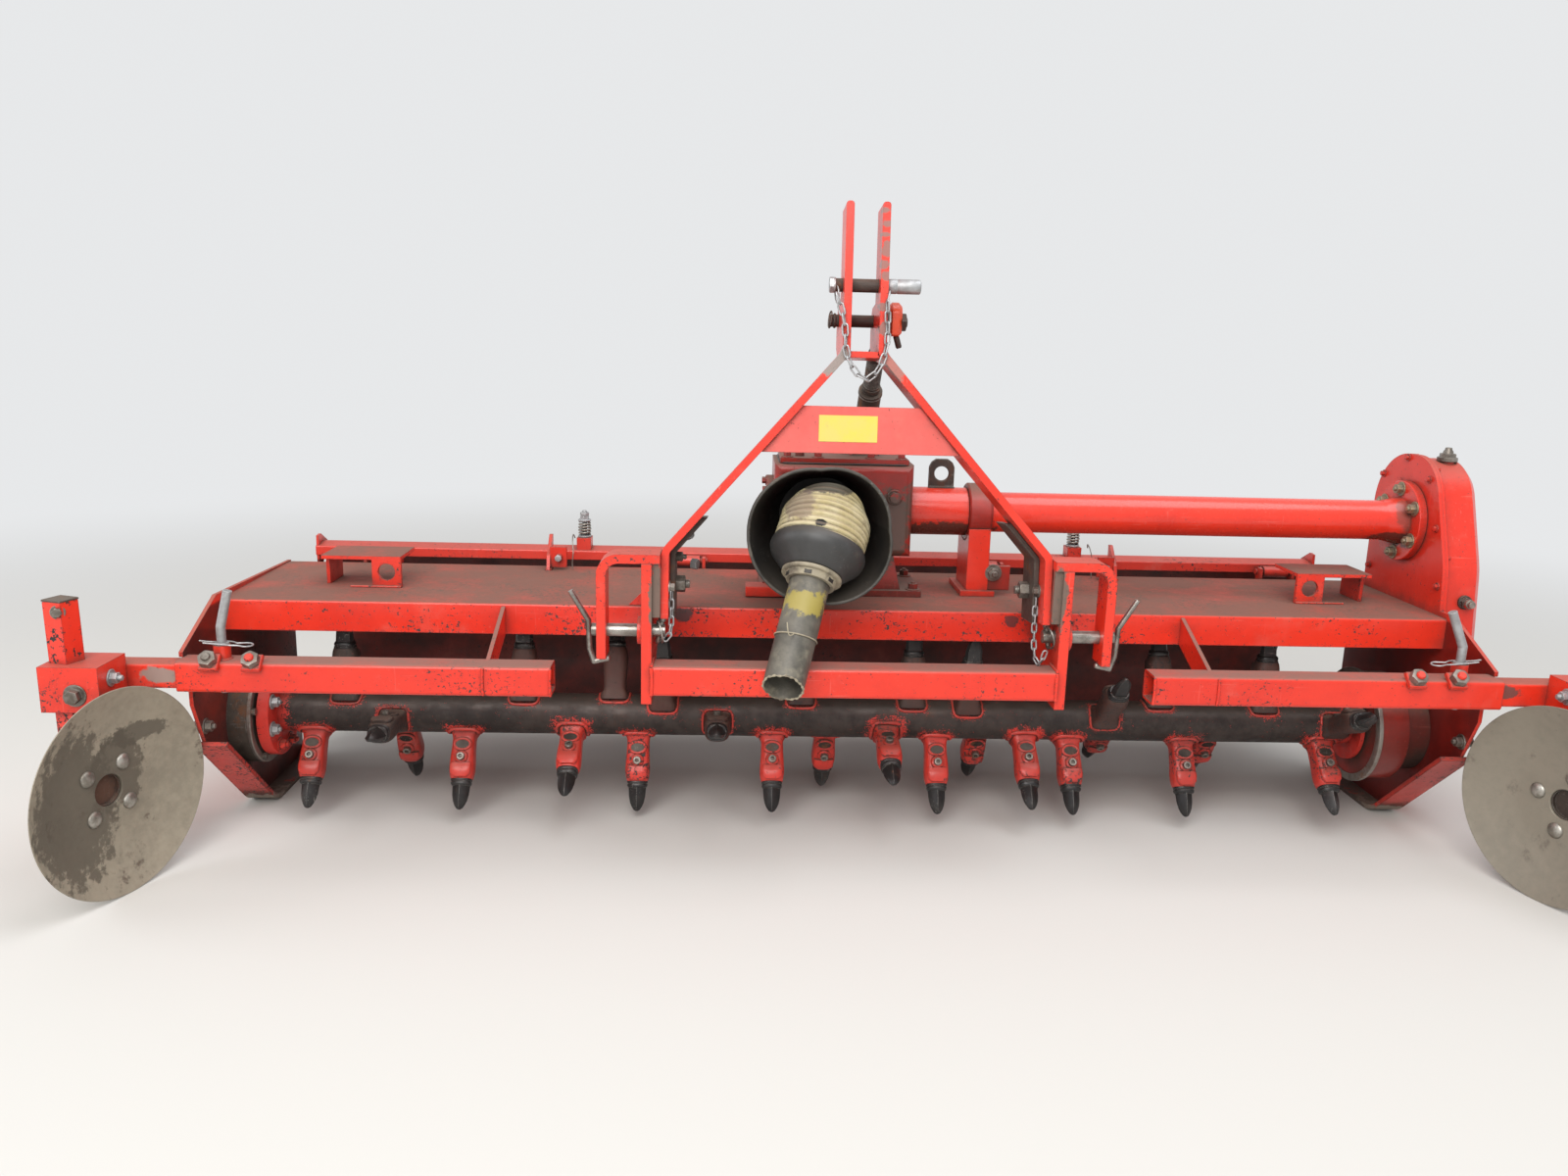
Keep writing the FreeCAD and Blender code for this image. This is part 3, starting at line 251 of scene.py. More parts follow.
def buildWornPatch():
    # One rubbed or stained place: an uneven oval round its centre.
    tree, given, put = newGroup("worn patch", [("Centre", "Vector", (0, 0, 0)), ("Radii", "Vector", (0.05, 0.05, 0.05)),
                                               ("Uneven", "Float", 1.6), ("Grain", "Float", 45.0)],
                                [("Patch", "Float")])
    place = addNode(tree, "TexCoord").outputs["Object"]
    away = addNode(tree, "VectorMath", {0: place, 1: given["Centre"]}, operation="SUBTRACT").outputs[0]
    scaled = addNode(tree, "VectorMath", {0: away, 1: given["Radii"]}, operation="DIVIDE").outputs[0]
    far = addNode(tree, "VectorMath", {0: scaled}, operation="LENGTH").outputs["Value"]
    broken = maths(tree, "MULTIPLY", maths(tree, "SUBTRACT", noise(tree, place, given["Grain"], 6, 0.7), 0.5),
                   given["Uneven"])
    feed(tree, put["Patch"], spread(tree, maths(tree, "ADD", far, broken), 0.78, 1.0, 1.0, 0.0))
    return tree


def buildHoodShade():
    # Painted shade on faces that look into the hood: under the deck, inside the side plates and the tailgate.
    tree, given, put = newGroup("hood shade", [("Centre", "Vector", (0, 0.1, 0.25)), ("Top", "Float", 0.485)],
                                [("Shade", "Float")])
    coords = addNode(tree, "TexCoord")
    inward = addNode(tree, "VectorMath", {0: given["Centre"], 1: coords.outputs["Object"]}, operation="SUBTRACT")
    facing = addNode(tree, "VectorMath", {0: inward.outputs[0], 1: coords.outputs["Normal"]},
                     operation="DOT_PRODUCT").outputs["Value"]
    height = addNode(tree, "SeparateXYZ", {0: coords.outputs["Object"]}).outputs[2]
    low = spread(tree, maths(tree, "SUBTRACT", height, given["Top"]), -0.004, 0.004, 1.0, 0.0)
    mottled = spread(tree, noise(tree, coords.outputs["Object"], 9.0, 5, 0.65), 0.3, 0.75, 1.0, 0.78)
    feed(tree, put["Shade"], maths(tree, "MULTIPLY", maths(tree, "MULTIPLY", spread(tree, facing, 0.02, 0.08), low),
                                   mottled))
    return tree


edgeWear = buildEdgeWear()
chipSpots = buildChipSpots()
dustFall = buildDustFall()
cornerGrimeShade = buildCornerGrimeShade()
toneDrift = buildDrift()
scratches = buildScratches()
wornPatch = buildWornPatch()
hoodShade = buildHoodShade()
print("shared effects built")


# Materials

def newMaterial(name):
    material = bpy.data.materials.new(name)
    material.use_nodes = True
    tree = material.node_tree
    shader = tree.nodes["Principled BSDF"]
    return material, tree, shader, addNode(tree, "TexCoord").outputs["Object"]


def addBump(tree, shader, height, depth, normal=None):
    node = addNode(tree, "Bump", {"Height": height, "Distance": depth, "Strength": 1.0})
    if normal is not None:
        feed(tree, node.inputs["Normal"], normal)
    feed(tree, shader.inputs["Normal"], node.outputs[0])


def addPatches(tree, colour, patches):
    # patches: (centre, radii, colour, strength), in millimetres
    for centre, radii, tint, strength in patches:
        mask = placeGroup(tree, wornPatch, Centre=toFrame(centre), Radii=Vector(radii) / 1000)["Patch"]
        colour = mixColour(tree, maths(tree, "MULTIPLY", mask, strength), colour, tint)
    return colour


paintLook = {
    "first": (0.80, 0.036, 0.014, 1),
    "second": (0.64, 0.026, 0.012, 1),
    "chalk": (0.62, 0.15, 0.115, 1),      # dull, sun-faded patches
    "chalkShare": 0.16,
    "bare": (0.045, 0.034, 0.032, 1),
    "dust": (0.175, 0.118, 0.088, 1),
    # colour of the corner dirt and painted shade
    "grime": (0.050, 0.030, 0.022, 1),
    "dustAmount": 0.55,
    "grimeAmount": 0.75,
    "grimeReach": 0.035,
    "chipShare": 0.16,
    "chipScale": 130.0,
    "edgeLow": 0.30,
    "edgeHigh": 0.42,
    "scratch": 0.35,
    "rough": 0.34,
    "coat": 0.22,
    "hood": 0.0,                          # how much of the painted shade inside the hood shows
    # colour of the painted shade inside the hood
    "hoodTint": (0.022, 0.012, 0.010, 1),
    "patches": [],
}


def paintMaterial(name, **changes):
    look = {**paintLook, **changes}
    material, tree, shader, place = newMaterial(name)
    soft = placeGroup(tree, edgeWear, Radius=0.0016)
    worn = placeGroup(tree, edgeWear, Radius=0.005, Scale=70.0, Low=look["edgeLow"], High=look["edgeHigh"])
    wide = placeGroup(tree, edgeWear, Radius=0.016, Scale=30.0, Low=0.16, High=0.5)
    chips = placeGroup(tree, chipSpots, Scale=look["chipScale"], Share=look["chipShare"])["Chips"]
    nearEdge = maths(tree, "MULTIPLY_ADD", wide["Edge"], look["chipShare"] * 3.0)
    nearEdge.node.inputs[2].default_value = look["chipShare"] * 0.35
    edgeChips = placeGroup(tree, chipSpots, Scale=look["chipScale"] * 1.3, Share=nearEdge)["Chips"]
    marks = placeGroup(tree, scratches, Scale=5.0, Amount=look["scratch"])["Scratch"]
    bare = maths(tree, "MAXIMUM", maths(tree, "MAXIMUM", chips, edgeChips),
                 maths(tree, "MULTIPLY", worn["Edge"], 0.9))
    drift = placeGroup(tree, toneDrift, First=look["first"], Second=look["second"], Scale=2.6, Mottle=0.25)
    chalk = spread(tree, noise(tree, place, 9.0, 6, 0.68), 0.55, 0.8, 0.0, look["chalkShare"] * 3)
    colour = mixColour(tree, chalk, drift["Colour"], look["chalk"])
    colour = mixColour(tree, maths(tree, "MULTIPLY", marks, 0.6), colour, (0.80, 0.23, 0.18, 1))
    colour = mixColour(tree, bare, colour, look["bare"])
    # corner dirt and painted shade from ambient occlusion
    grime = placeGroup(tree, cornerGrimeShade, Reach=look["grimeReach"], Amount=look["grimeAmount"])["GrimeShade"]
    colour = mixColour(tree, grime, colour, look["grime"])
    colour = addPatches(tree, colour, look["patches"])
    # painted shade on the faces that look into the hood
    if look["hood"]:
        shade = placeGroup(tree, hoodShade, Centre=toFrame((0, 380, 250)))["Shade"]
        colour = mixColour(tree, maths(tree, "MULTIPLY", shade, look["hood"]), colour, look["hoodTint"])
    dust = placeGroup(tree, dustFall, Amount=look["dustAmount"])["Dust"]
    colour = mixColour(tree, dust, colour, look["dust"])
    feed(tree, shader.inputs["Base Color"], colour)
    dull = maths(tree, "MAXIMUM", maths(tree, "MAXIMUM", maths(tree, "MULTIPLY", bare, 0.6), dust),
                 maths(tree, "MULTIPLY", grime, 0.9), True)
    texture = noise(tree, place, 40.0, 4, 0.6)
    rough = maths(tree, "ADD", spread(tree, dull, 0.0, 1.0, look["rough"], 0.88),
                  maths(tree, "MULTIPLY", maths(tree, "SUBTRACT", texture, 0.5), 0.16), True)
    feed(tree, shader.inputs["Roughness"], rough)
    shader.inputs["Specular IOR Level"].default_value = 0.45
    shader.inputs["Coat Roughness"].default_value = 0.12
    feed(tree, shader.inputs["Coat Weight"], spread(tree, dull, 0.0, 0.5, look["coat"], 0.0))
    height = maths(tree, "SUBTRACT", maths(tree, "MULTIPLY", noise(tree, place, 320.0, 2), 0.18),
                   maths(tree, "MULTIPLY", bare, 0.55))
    height = maths(tree, "ADD", height, maths(tree, "MULTIPLY", noise(tree, place, 26.0, 3), 0.5))
    addBump(tree, shader, height, 0.00045, soft["Rounded"])
    return material


steelLook = {
    "first": (0.075, 0.062, 0.052, 1),
    "second": (0.035, 0.028, 0.025, 1),
    "bright": (0.34, 0.32, 0.29, 1),
    "rust": (0.16, 0.062, 0.025, 1),
    "rustShare": 0.25,
    "dust": (0.17, 0.13, 0.10, 1),
    "dustAmount": 0.3,
    "edgeLow": 0.22,
    "edgeHigh": 0.42,
    "scratch": 0.5,
    "rough": 0.45,
    "metal": 0.75,
    "relief": 0.0005,
    "grimeAmount": 0.5,
    "scale": 9.0,
    "patches": [],
}


def steelMaterial(name, **changes):
    look = {**steelLook, **changes}
    material, tree, shader, place = newMaterial(name)
    soft = placeGroup(tree, edgeWear, Radius=0.0015)
    worn = placeGroup(tree, edgeWear, Radius=0.004, Scale=90.0, Low=look["edgeLow"], High=look["edgeHigh"])
    drift = placeGroup(tree, toneDrift, First=look["first"], Second=look["second"], Scale=look["scale"], Mottle=0.6)
    marks = placeGroup(tree, scratches, Scale=8.0, Amount=look["scratch"])["Scratch"]
    bright = maths(tree, "MAXIMUM", worn["Edge"], marks)
    colour = mixColour(tree, bright, drift["Colour"], look["bright"])
    spots = maths(tree, "ADD", noise(tree, place, 14.0, 7, 0.7), maths(tree, "MULTIPLY", drift["Tone"], 0.06))
    rust = spread(tree, spots, 0.68 - look["rustShare"] * 0.35, 0.78 - look["rustShare"] * 0.3, 0.0, 0.85)
    colour = mixColour(tree, rust, colour, look["rust"])
    # corner dirt and painted shade from ambient occlusion
    grime = placeGroup(tree, cornerGrimeShade, Reach=0.02, Amount=look["grimeAmount"])["GrimeShade"]
    colour = mixColour(tree, grime, colour, (0.035, 0.025, 0.02, 1))
    colour = addPatches(tree, colour, look["patches"])
    dust = placeGroup(tree, dustFall, Amount=look["dustAmount"])["Dust"]
    colour = mixColour(tree, dust, colour, look["dust"])
    feed(tree, shader.inputs["Base Color"], colour)
    dull = maths(tree, "MAXIMUM", maths(tree, "MAXIMUM", rust, dust), grime, True)
    feed(tree, shader.inputs["Metallic"], spread(tree, dull, 0.0, 0.9, look["metal"], 0.05))
    texture = noise(tree, place, 60.0, 4, 0.65)
    rough = maths(tree, "ADD", spread(tree, dull, 0.0, 1.0, look["rough"], 0.88),
                  maths(tree, "MULTIPLY", maths(tree, "SUBTRACT", texture, 0.5), 0.35), True)
    feed(tree, shader.inputs["Roughness"], rough)
    height = maths(tree, "ADD", maths(tree, "MULTIPLY", noise(tree, place, 75.0, 5, 0.6), 0.7),
                   maths(tree, "MULTIPLY", rust, 0.3))
    addBump(tree, shader, height, look["relief"], soft["Rounded"])
    return material


plasticLook = {
    "first": (0.035, 0.035, 0.036, 1),
    "second": (0.055, 0.052, 0.048, 1),
    "dirt": (0.13, 0.11, 0.085, 1),
    "dirtShare": 0.5,
    "dustAmount": 0.45,
    "dust": (0.19, 0.16, 0.13, 1),
    "rough": 0.5,
    "relief": 0.0003,
    "grimeAmount": 0.6,
    "scale": 14.0,
    "patches": [],
}


def plasticMaterial(name, **changes):
    look = {**plasticLook, **changes}
    material, tree, shader, place = newMaterial(name)
    soft = placeGroup(tree, edgeWear, Radius=0.001)
    drift = placeGroup(tree, toneDrift, First=look["first"], Second=look["second"], Scale=look["scale"], Mottle=0.5)
    smear = spread(tree, noise(tree, place, 21.0, 7, 0.66), 0.72 - look["dirtShare"] * 0.4, 0.9 - look["dirtShare"] * 0.3,
                   0.0, 0.9)
    colour = mixColour(tree, smear, drift["Colour"], look["dirt"])
    marks = placeGroup(tree, scratches, Scale=9.0, Amount=0.35)["Scratch"]
    colour = mixColour(tree, marks, colour, (0.42, 0.40, 0.36, 1))
    # corner dirt and painted shade from ambient occlusion
    grime = placeGroup(tree, cornerGrimeShade, Reach=0.018, Amount=look["grimeAmount"])["GrimeShade"]
    colour = mixColour(tree, grime, colour, (0.03, 0.025, 0.02, 1))
    colour = addPatches(tree, colour, look["patches"])
    dust = placeGroup(tree, dustFall, Amount=look["dustAmount"])["Dust"]
    colour = mixColour(tree, dust, colour, look["dust"])
    feed(tree, shader.inputs["Base Color"], colour)
    dull = maths(tree, "MAXIMUM", smear, dust, True)
    feed(tree, shader.inputs["Roughness"], spread(tree, dull, 0.0, 1.0, look["rough"], 0.9))
    height = maths(tree, "ADD", maths(tree, "MULTIPLY", noise(tree, place, 130.0, 4), 0.5),
                   maths(tree, "MULTIPLY", smear, 0.4))
    addBump(tree, shader, height, look["relief"], soft["Rounded"])
    return material


def rotorMaterial(name):
    # Dark tube with red paint blown over it round each weld; the piece's spray value says where.
    material, tree, shader, place = newMaterial(name)
    spray = addNode(tree, "Attribute", attribute_name="spray").outputs["Fac"]
    drift = placeGroup(tree, toneDrift, First=(0.056, 0.042, 0.037, 1), Second=(0.028, 0.021, 0.019, 1),
                       Scale=7.0, Mottle=0.7)
    rust = spread(tree, noise(tree, place, 11.0, 7, 0.7), 0.56, 0.74, 0.0, 0.6)
    colour = mixColour(tree, rust, drift["Colour"], (0.085, 0.040, 0.026, 1))
    edge = maths(tree, "MULTIPLY", maths(tree, "SUBTRACT", noise(tree, place, 60.0, 4, 0.6), 0.5), 1.3)
    fleck = maths(tree, "MULTIPLY", maths(tree, "SUBTRACT", noise(tree, place, 330.0, 3, 0.7), 0.5), 2.6)
    paint = spread(tree, maths(tree, "ADD", spray, maths(tree, "ADD", edge, fleck)), 0.50, 0.66)
    colour = mixColour(tree, maths(tree, "MULTIPLY", paint, 0.95), colour, (0.66, 0.035, 0.022, 1))
    # corner dirt and painted shade from ambient occlusion
    grime = placeGroup(tree, cornerGrimeShade, Reach=0.03, Amount=0.7)["GrimeShade"]
    colour = mixColour(tree, grime, colour, (0.03, 0.021, 0.017, 1))
    dust = placeGroup(tree, dustFall, Amount=0.35)["Dust"]
    colour = mixColour(tree, dust, colour, (0.13, 0.10, 0.08, 1))
    feed(tree, shader.inputs["Base Color"], colour)
    feed(tree, shader.inputs["Metallic"], spread(tree, maths(tree, "MAXIMUM", paint, dust), 0.0, 0.7, 0.55, 0.0))
    feed(tree, shader.inputs["Roughness"], spread(tree, noise(tree, place, 30.0, 5, 0.6), 0.3, 0.7, 0.36, 0.6))
    height = maths(tree, "ADD", noise(tree, place, 90.0, 5, 0.6), maths(tree, "MULTIPLY", paint, 0.25))
    addBump(tree, shader, height, 0.0005)
    return material


redPaint = paintMaterial("red paint")
stalkPaint = paintMaterial("red paint, disc stalks", chipShare=0.75, grimeAmount=0.9, edgeLow=0.2, edgeHigh=0.36,
                           chipScale=60.0, bare=(0.022, 0.018, 0.017, 1))
deckPaint = paintMaterial("red paint, dusty top", dustAmount=0.9, chipShare=0.22, dust=(0.142, 0.092, 0.068, 1),
                          edgeLow=0.26, edgeHigh=0.4, grimeReach=0.06, hood=0.93, patches=[
    ((-343, 205, 470), (22, 10, 17), (0.035, 0.033, 0.034, 1), 0.9),
    ((347, 205, 468), (18, 10, 14), (0.035, 0.033, 0.034, 1), 0.8)])
beamPaint = paintMaterial("red paint, beams", dustAmount=0.88, chipShare=0.18, edgeLow=0.2, edgeHigh=0.36,
                          dust=(0.185, 0.125, 0.10, 1))
bareFiller = (0.135, 0.108, 0.085, 1)
platePaint = paintMaterial("red paint, hitch plates", dustAmount=0.5, chipShare=0.2, edgeLow=0.24, edgeHigh=0.38,
                           patches=[((-385, 8, 545), (15, 26, 92), bareFiller, 0.95),
                                    ((386, 8, 560), (19, 26, 70), bareFiller, 0.95)])
mastPaint = paintMaterial("red paint, mast", dustAmount=0.5, chipShare=0.1, edgeLow=0.3, edgeHigh=0.44, scratch=0.7,
                          patches=[((-70, 76, 1004), (46, 34, 34), (0.26, 0.24, 0.22, 1), 0.95),
                                   *[((x, 60, z), (13, 80, r), (0.20, 0.145, 0.125, 1), 0.8)
                                     for x, z, r in ((30, 1276, 7), (37, 1252, 9), (30, 1233, 5), (35, 1206, 15),
                                                     (31, 1178, 9), (37, 1158, 10), (30, 1102, 8), (36, 1060, 14))],
                                   ((52, 76, 990), (26, 20, 46), (0.28, 0.20, 0.17, 1), 0.7)])
innerPaint = paintMaterial("red paint, side plate", grimeAmount=0.9, grimeReach=0.08, dustAmount=0.7, chipShare=0.2,
                           hood=0.93)
boardPaint = paintMaterial("red paint, tailgate", first=(0.72, 0.050, 0.030, 1), second=(0.58, 0.040, 0.026, 1), chalkShare=0.3,
                           dustAmount=0.42, chipShare=0.14, grimeAmount=0.9, hood=0.95,
                           dust=(0.20, 0.10, 0.075, 1))
skidPaint = paintMaterial("worn red paint, skids", first=(0.66, 0.032, 0.016, 1), second=(0.34, 0.026, 0.018, 1), dustAmount=0.2,
                          chipShare=0.45, edgeLow=0.16, edgeHigh=0.34, grimeAmount=1.0, grimeReach=0.06, rough=0.5,
                          patches=[((-1271, 318, 0), (70, 130, 34), (0.24, 0.20, 0.16, 1), 0.95),
                                   ((1271, 318, 0), (70, 130, 34), (0.24, 0.20, 0.16, 1), 0.95),
                                   ((-1271, 480, 0), (70, 190, 16), (0.10, 0.07, 0.055, 1), 0.95),
                                   ((1271, 480, 0), (70, 190, 16), (0.10, 0.07, 0.055, 1), 0.95)])
fadedPaint = paintMaterial("faded paint", first=(0.68, 0.085, 0.072, 1), second=(0.66, 0.13, 0.11, 1),
                           chalkShare=0.3, chipShare=0.03, rough=0.5, coat=0.0)
# deep red painted shade on the lower faces of the side plate and case that look into the hood
casePaint = paintMaterial("red paint, castings", dustAmount=0.45, chipShare=0.08, edgeLow=0.36, edgeHigh=0.5,
                          grimeAmount=0.9, grimeReach=0.05, hood=0.9, hoodTint=(0.075, 0.006, 0.005, 1))
gearPaint = paintMaterial("grimy paint, gearbox", first=(0.40, 0.020, 0.012, 1), second=(0.17, 0.018, 0.013, 1),
                           grimeAmount=1.0, grimeReach=0.08, dustAmount=0.8, dust=(0.16, 0.115, 0.088, 1),
                          chalkShare=0.03, patches=[
    ((88, 323, 640), (62, 60, 95), (0.085, 0.058, 0.043, 1), 0.9),
    ((150, 380, 700), (40, 90, 60), (0.085, 0.058, 0.043, 1), 0.8),
    ((-110, 323, 600), (60, 60, 60), (0.075, 0.050, 0.038, 1), 0.7)])
tubePaint = paintMaterial("red paint, drive tube", dustAmount=0.12, chipShare=0.05, chalkShare=0.05, coat=0.4,
                          rough=0.26, grimeAmount=0.85, grimeReach=0.05, patches=[
    ((225, 400, 632), (120, 70, 24), (0.050, 0.032, 0.024, 1), 0.9),
    ((1235, 400, 628), (60, 70, 22), (0.055, 0.030, 0.022, 1), 0.85),
    ((1255, 372, 690), (22, 30, 40), (0.14, 0.045, 0.030, 1), 0.6)])
holderPaint = paintMaterial("red paint, holders", first=(0.68, 0.036, 0.022, 1), second=(0.40, 0.03, 0.02, 1),
                            chipShare=0.3, edgeLow=0.24, edgeHigh=0.42, grimeAmount=1.0, grimeReach=0.03,
                            dustAmount=0.35, rough=0.42, scratch=0.6)
workedSteel = steelMaterial("worked steel")
tineSteel = steelMaterial("tine steel", first=(0.028, 0.027, 0.028, 1), second=(0.05, 0.047, 0.046, 1), rough=0.38,
                          rustShare=0.1, dustAmount=0.12, edgeLow=0.2, edgeHigh=0.5, scratch=0.7, metal=0.6)
wetStain = (0.105, 0.090, 0.068, 1)
discSteel = steelMaterial("disc steel", first=(0.37, 0.325, 0.25, 1), second=(0.27, 0.24, 0.185, 1), rough=0.56,
                          rustShare=0.26, rust=(0.085, 0.055, 0.04, 1), metal=0.3, bright=(0.36, 0.33, 0.28, 1),
                          dustAmount=0.2, scratch=0.4, scale=4.0, relief=0.0002, grimeAmount=0.3, patches=[
    ((-1405, -178, 190), (75, 112, 165), wetStain, 0.8), ((-1366, -85, 225), (50, 68, 85), wetStain, 0.8),
    ((-1350, -35, 286), (40, 85, 24), wetStain, 0.8), ((1378, -101, 196), (500, 500, 500), (0.19, 0.172, 0.142, 1), 0.6)])
zincBright = steelMaterial("zinc", first=(0.44, 0.45, 0.46, 1), second=(0.30, 0.30, 0.30, 1), rough=0.47,
                           rustShare=-0.1, dustAmount=0.15, metal=0.6, bright=(0.75, 0.75, 0.75, 1), relief=0.00012,
                           grimeAmount=0.5, scale=30.0)
wornPin = steelMaterial("worn pin steel", first=(0.38, 0.36, 0.33, 1), second=(0.17, 0.15, 0.13, 1), rough=0.3,
                        rustShare=0.12, dustAmount=0.2, metal=0.9, relief=0.0003)
boltSteel = steelMaterial("bolt steel", first=(0.30, 0.27, 0.24, 1), second=(0.13, 0.11, 0.09, 1), rough=0.4,
                          rustShare=0.2, dustAmount=0.3, metal=0.8, relief=0.0002, scale=40.0)
boltPaint = paintMaterial("painted bolts", chipShare=0.3, dustAmount=0.3, edgeLow=0.16, edgeHigh=0.34)
bellPlastic = plasticMaterial("black plastic", first=(0.018, 0.017, 0.016, 1), second=(0.030, 0.026, 0.023, 1),
                              dirtShare=0.3, dirt=(0.075, 0.055, 0.042, 1), dustAmount=0.3)
creamPlastic = plasticMaterial("cream plastic", first=(0.46, 0.38, 0.19, 1), second=(0.60, 0.53, 0.34, 1),
                               dirt=(0.20, 0.155, 0.105, 1), dirtShare=0.5, rough=0.6, dustAmount=0.45,
                               dust=(0.30, 0.225, 0.17, 1), grimeAmount=0.8, patches=[
    ((-50, 96, 764), (95, 60, 20), (0.050, 0.042, 0.030, 1), 0.95),
    ((-125, 60, 735), (45, 60, 40), (0.21, 0.155, 0.125, 1), 0.7),
    ((-76, 20, 701), (13, 20, 7.5), (0.006, 0.006, 0.006, 1), 1.0)])
conePlastic = plasticMaterial("dark grey plastic", first=(0.044, 0.044, 0.044, 1), second=(0.030, 0.029, 0.028, 1),
                              dirtShare=0.4, dirt=(0.085, 0.072, 0.058, 1), rough=0.45, dustAmount=0.25)
guardPlastic = plasticMaterial("grey guard plastic", first=(0.060, 0.056, 0.046, 1), second=(0.135, 0.124, 0.100, 1),
                               dirt=(0.25, 0.225, 0.165, 1), dirtShare=0.5, rough=0.5, dustAmount=0.25, patches=[
    ((-103, 2, 548), (46, 50, 30), (0.40, 0.32, 0.055, 1), 0.75),
    ((-118, -20, 470), (40, 36, 18), (0.30, 0.24, 0.06, 1), 0.4)])
rotorTubeSteel = rotorMaterial("rotor tube")
stickerYellow = plasticMaterial("sticker", first=(0.70, 0.56, 0.07, 1), second=(0.66, 0.53, 0.13, 1),
                                dirt=(0.40, 0.33, 0.17, 1), dirtShare=0.3, rough=0.4, dustAmount=0.2, relief=0.00005)

# dark paint for the holders that point up under the hood: dirt and painted shade
dirtyShadedHolder = paintMaterial("red paint, dirty holders with painted shade", first=(0.085, 0.028, 0.020, 1), second=(0.045, 0.030, 0.024, 1),
                            chipShare=0.5, grimeAmount=1.1, grimeReach=0.05, dustAmount=0.55, rough=0.6, coat=0.0,
                            chalk=(0.11, 0.08, 0.06, 1), chalkShare=0.25)
leverPaint = paintMaterial("orange paint, lever", first=(0.85, 0.095, 0.025, 1), second=(0.70, 0.07, 0.025, 1),
                           dustAmount=0.3, chipShare=0.12, chalkShare=0.3)
telescopePaint = paintMaterial("red paint, telescoping bars", patches=[
    ((-1312, -3, 388), (40, 14, 17), (0.27, 0.245, 0.215, 1), 0.9),
    ((1292, -3, 392), (32, 14, 15), (0.080, 0.062, 0.055, 1), 0.85)], dustAmount=0.7)
dustySteel = steelMaterial("dusty steel", first=(0.10, 0.078, 0.064, 1), second=(0.055, 0.042, 0.036, 1), rough=0.62,
                           metal=0.4, rustShare=0.3, dustAmount=0.6)
eyeSteel = steelMaterial("dark brown steel", first=(0.060, 0.034, 0.026, 1), second=(0.038, 0.026, 0.022, 1),
                         rough=0.6, metal=0.3, rustShare=0.4, rust=(0.10, 0.038, 0.022, 1), dustAmount=0.5)
bearingSteel = steelMaterial("bearing steel", first=(0.11, 0.09, 0.072, 1), second=(0.062, 0.050, 0.040, 1), rough=0.6,
                             metal=0.35, dustAmount=0.4)
hubSteel = steelMaterial("hub steel", first=(0.070, 0.050, 0.040, 1), second=(0.040, 0.030, 0.026, 1), rough=0.55,
                         metal=0.5, rustShare=0.45, rust=(0.11, 0.05, 0.03, 1), dustAmount=0.4)
scrapedSteel = steelMaterial("scraped steel", first=(0.34, 0.31, 0.28, 1), second=(0.19, 0.16, 0.14, 1), rough=0.42,
                             metal=0.75, rustShare=0.2, dustAmount=0.25)
boltBrass = steelMaterial("yellow zinc", first=(0.40, 0.33, 0.20, 1), second=(0.24, 0.19, 0.13, 1), rough=0.45,
                          metal=0.7, rustShare=0.15, dustAmount=0.4, relief=0.0002, scale=40.0)
discBolt = steelMaterial("disc bolt steel", first=(0.42, 0.40, 0.36, 1), second=(0.20, 0.18, 0.15, 1), rough=0.38,
                         metal=0.75, rustShare=0.1, dustAmount=0.35, relief=0.0002, scale=45.0)
bellRimPlastic = plasticMaterial("worn black plastic", first=(0.070, 0.066, 0.058, 1), second=(0.035, 0.032, 0.028, 1),
                                 dirtShare=0.5, dirt=(0.15, 0.125, 0.10, 1))
ringPlastic = plasticMaterial("dirty cream plastic", first=(0.42, 0.37, 0.26, 1), second=(0.30, 0.26, 0.19, 1),
                              dirt=(0.10, 0.08, 0.06, 1), dirtShare=0.7, rough=0.6, dustAmount=0.4,
                              dust=(0.27, 0.215, 0.17, 1))

nodeMaterials = {
    deckPaint: ["deck", "deck_lug_left", "deck_lug_right"],
    stalkPaint: ["disc_stalk_left", "disc_stalk_right"],
    innerPaint: ["side_plate_left"],
    boardPaint: ["tailgate", "tailgate_hinges"],
    casePaint: ["gear_case", "side_plate_right"],
    beamPaint: ["front_crossbeam", "side_beam_left", "side_beam_right"],
    platePaint: ["hitch_bracket_left", "hitch_bracket_right", "disc_clamp_left", "disc_clamp_right"],
    mastPaint: ["mast_bar_left", "mast_bar_right"],
    redPaint: ["mast_spacer", "strut_pin", "adjuster_bracket_left", "adjuster_bracket_right",
               "drive_tube_saddle"],
    telescopePaint: ["extension_bar_left", "extension_bar_right"],
    dustySteel: ["rear_strut"],
    hubSteel: ["disc_hub_left", "disc_hub_right"],
    fadedPaint: ["mast_cross_plate"],
    gearPaint: ["gearbox", "gearbox_cover", "rotor_bearing_right"],
    tubePaint: ["drive_tube"],
    skidPaint: ["skid_left", "skid_right"],
    bearingSteel: ["rotor_bearing_left"],
    workedSteel: ["input_yoke", "driveline_shaft", "tailgate_springs"],
    tineSteel: ["rotor_tines"],
    discSteel: ["disc_left", "disc_right"],
    zincBright: ["lock_pin_left", "lock_pin_right", "top_link_pin"],
    wornPin: ["hitch_pin_left", "hitch_pin_right"],
    bellPlastic: ["pto_bell"],
    creamPlastic: ["driveline_bellows", "driveline_guard_ring"],
    conePlastic: ["driveline_cone"],
    guardPlastic: ["driveline_guard_tube"],
    rotorTubeSteel: ["rotor_tube"],
}
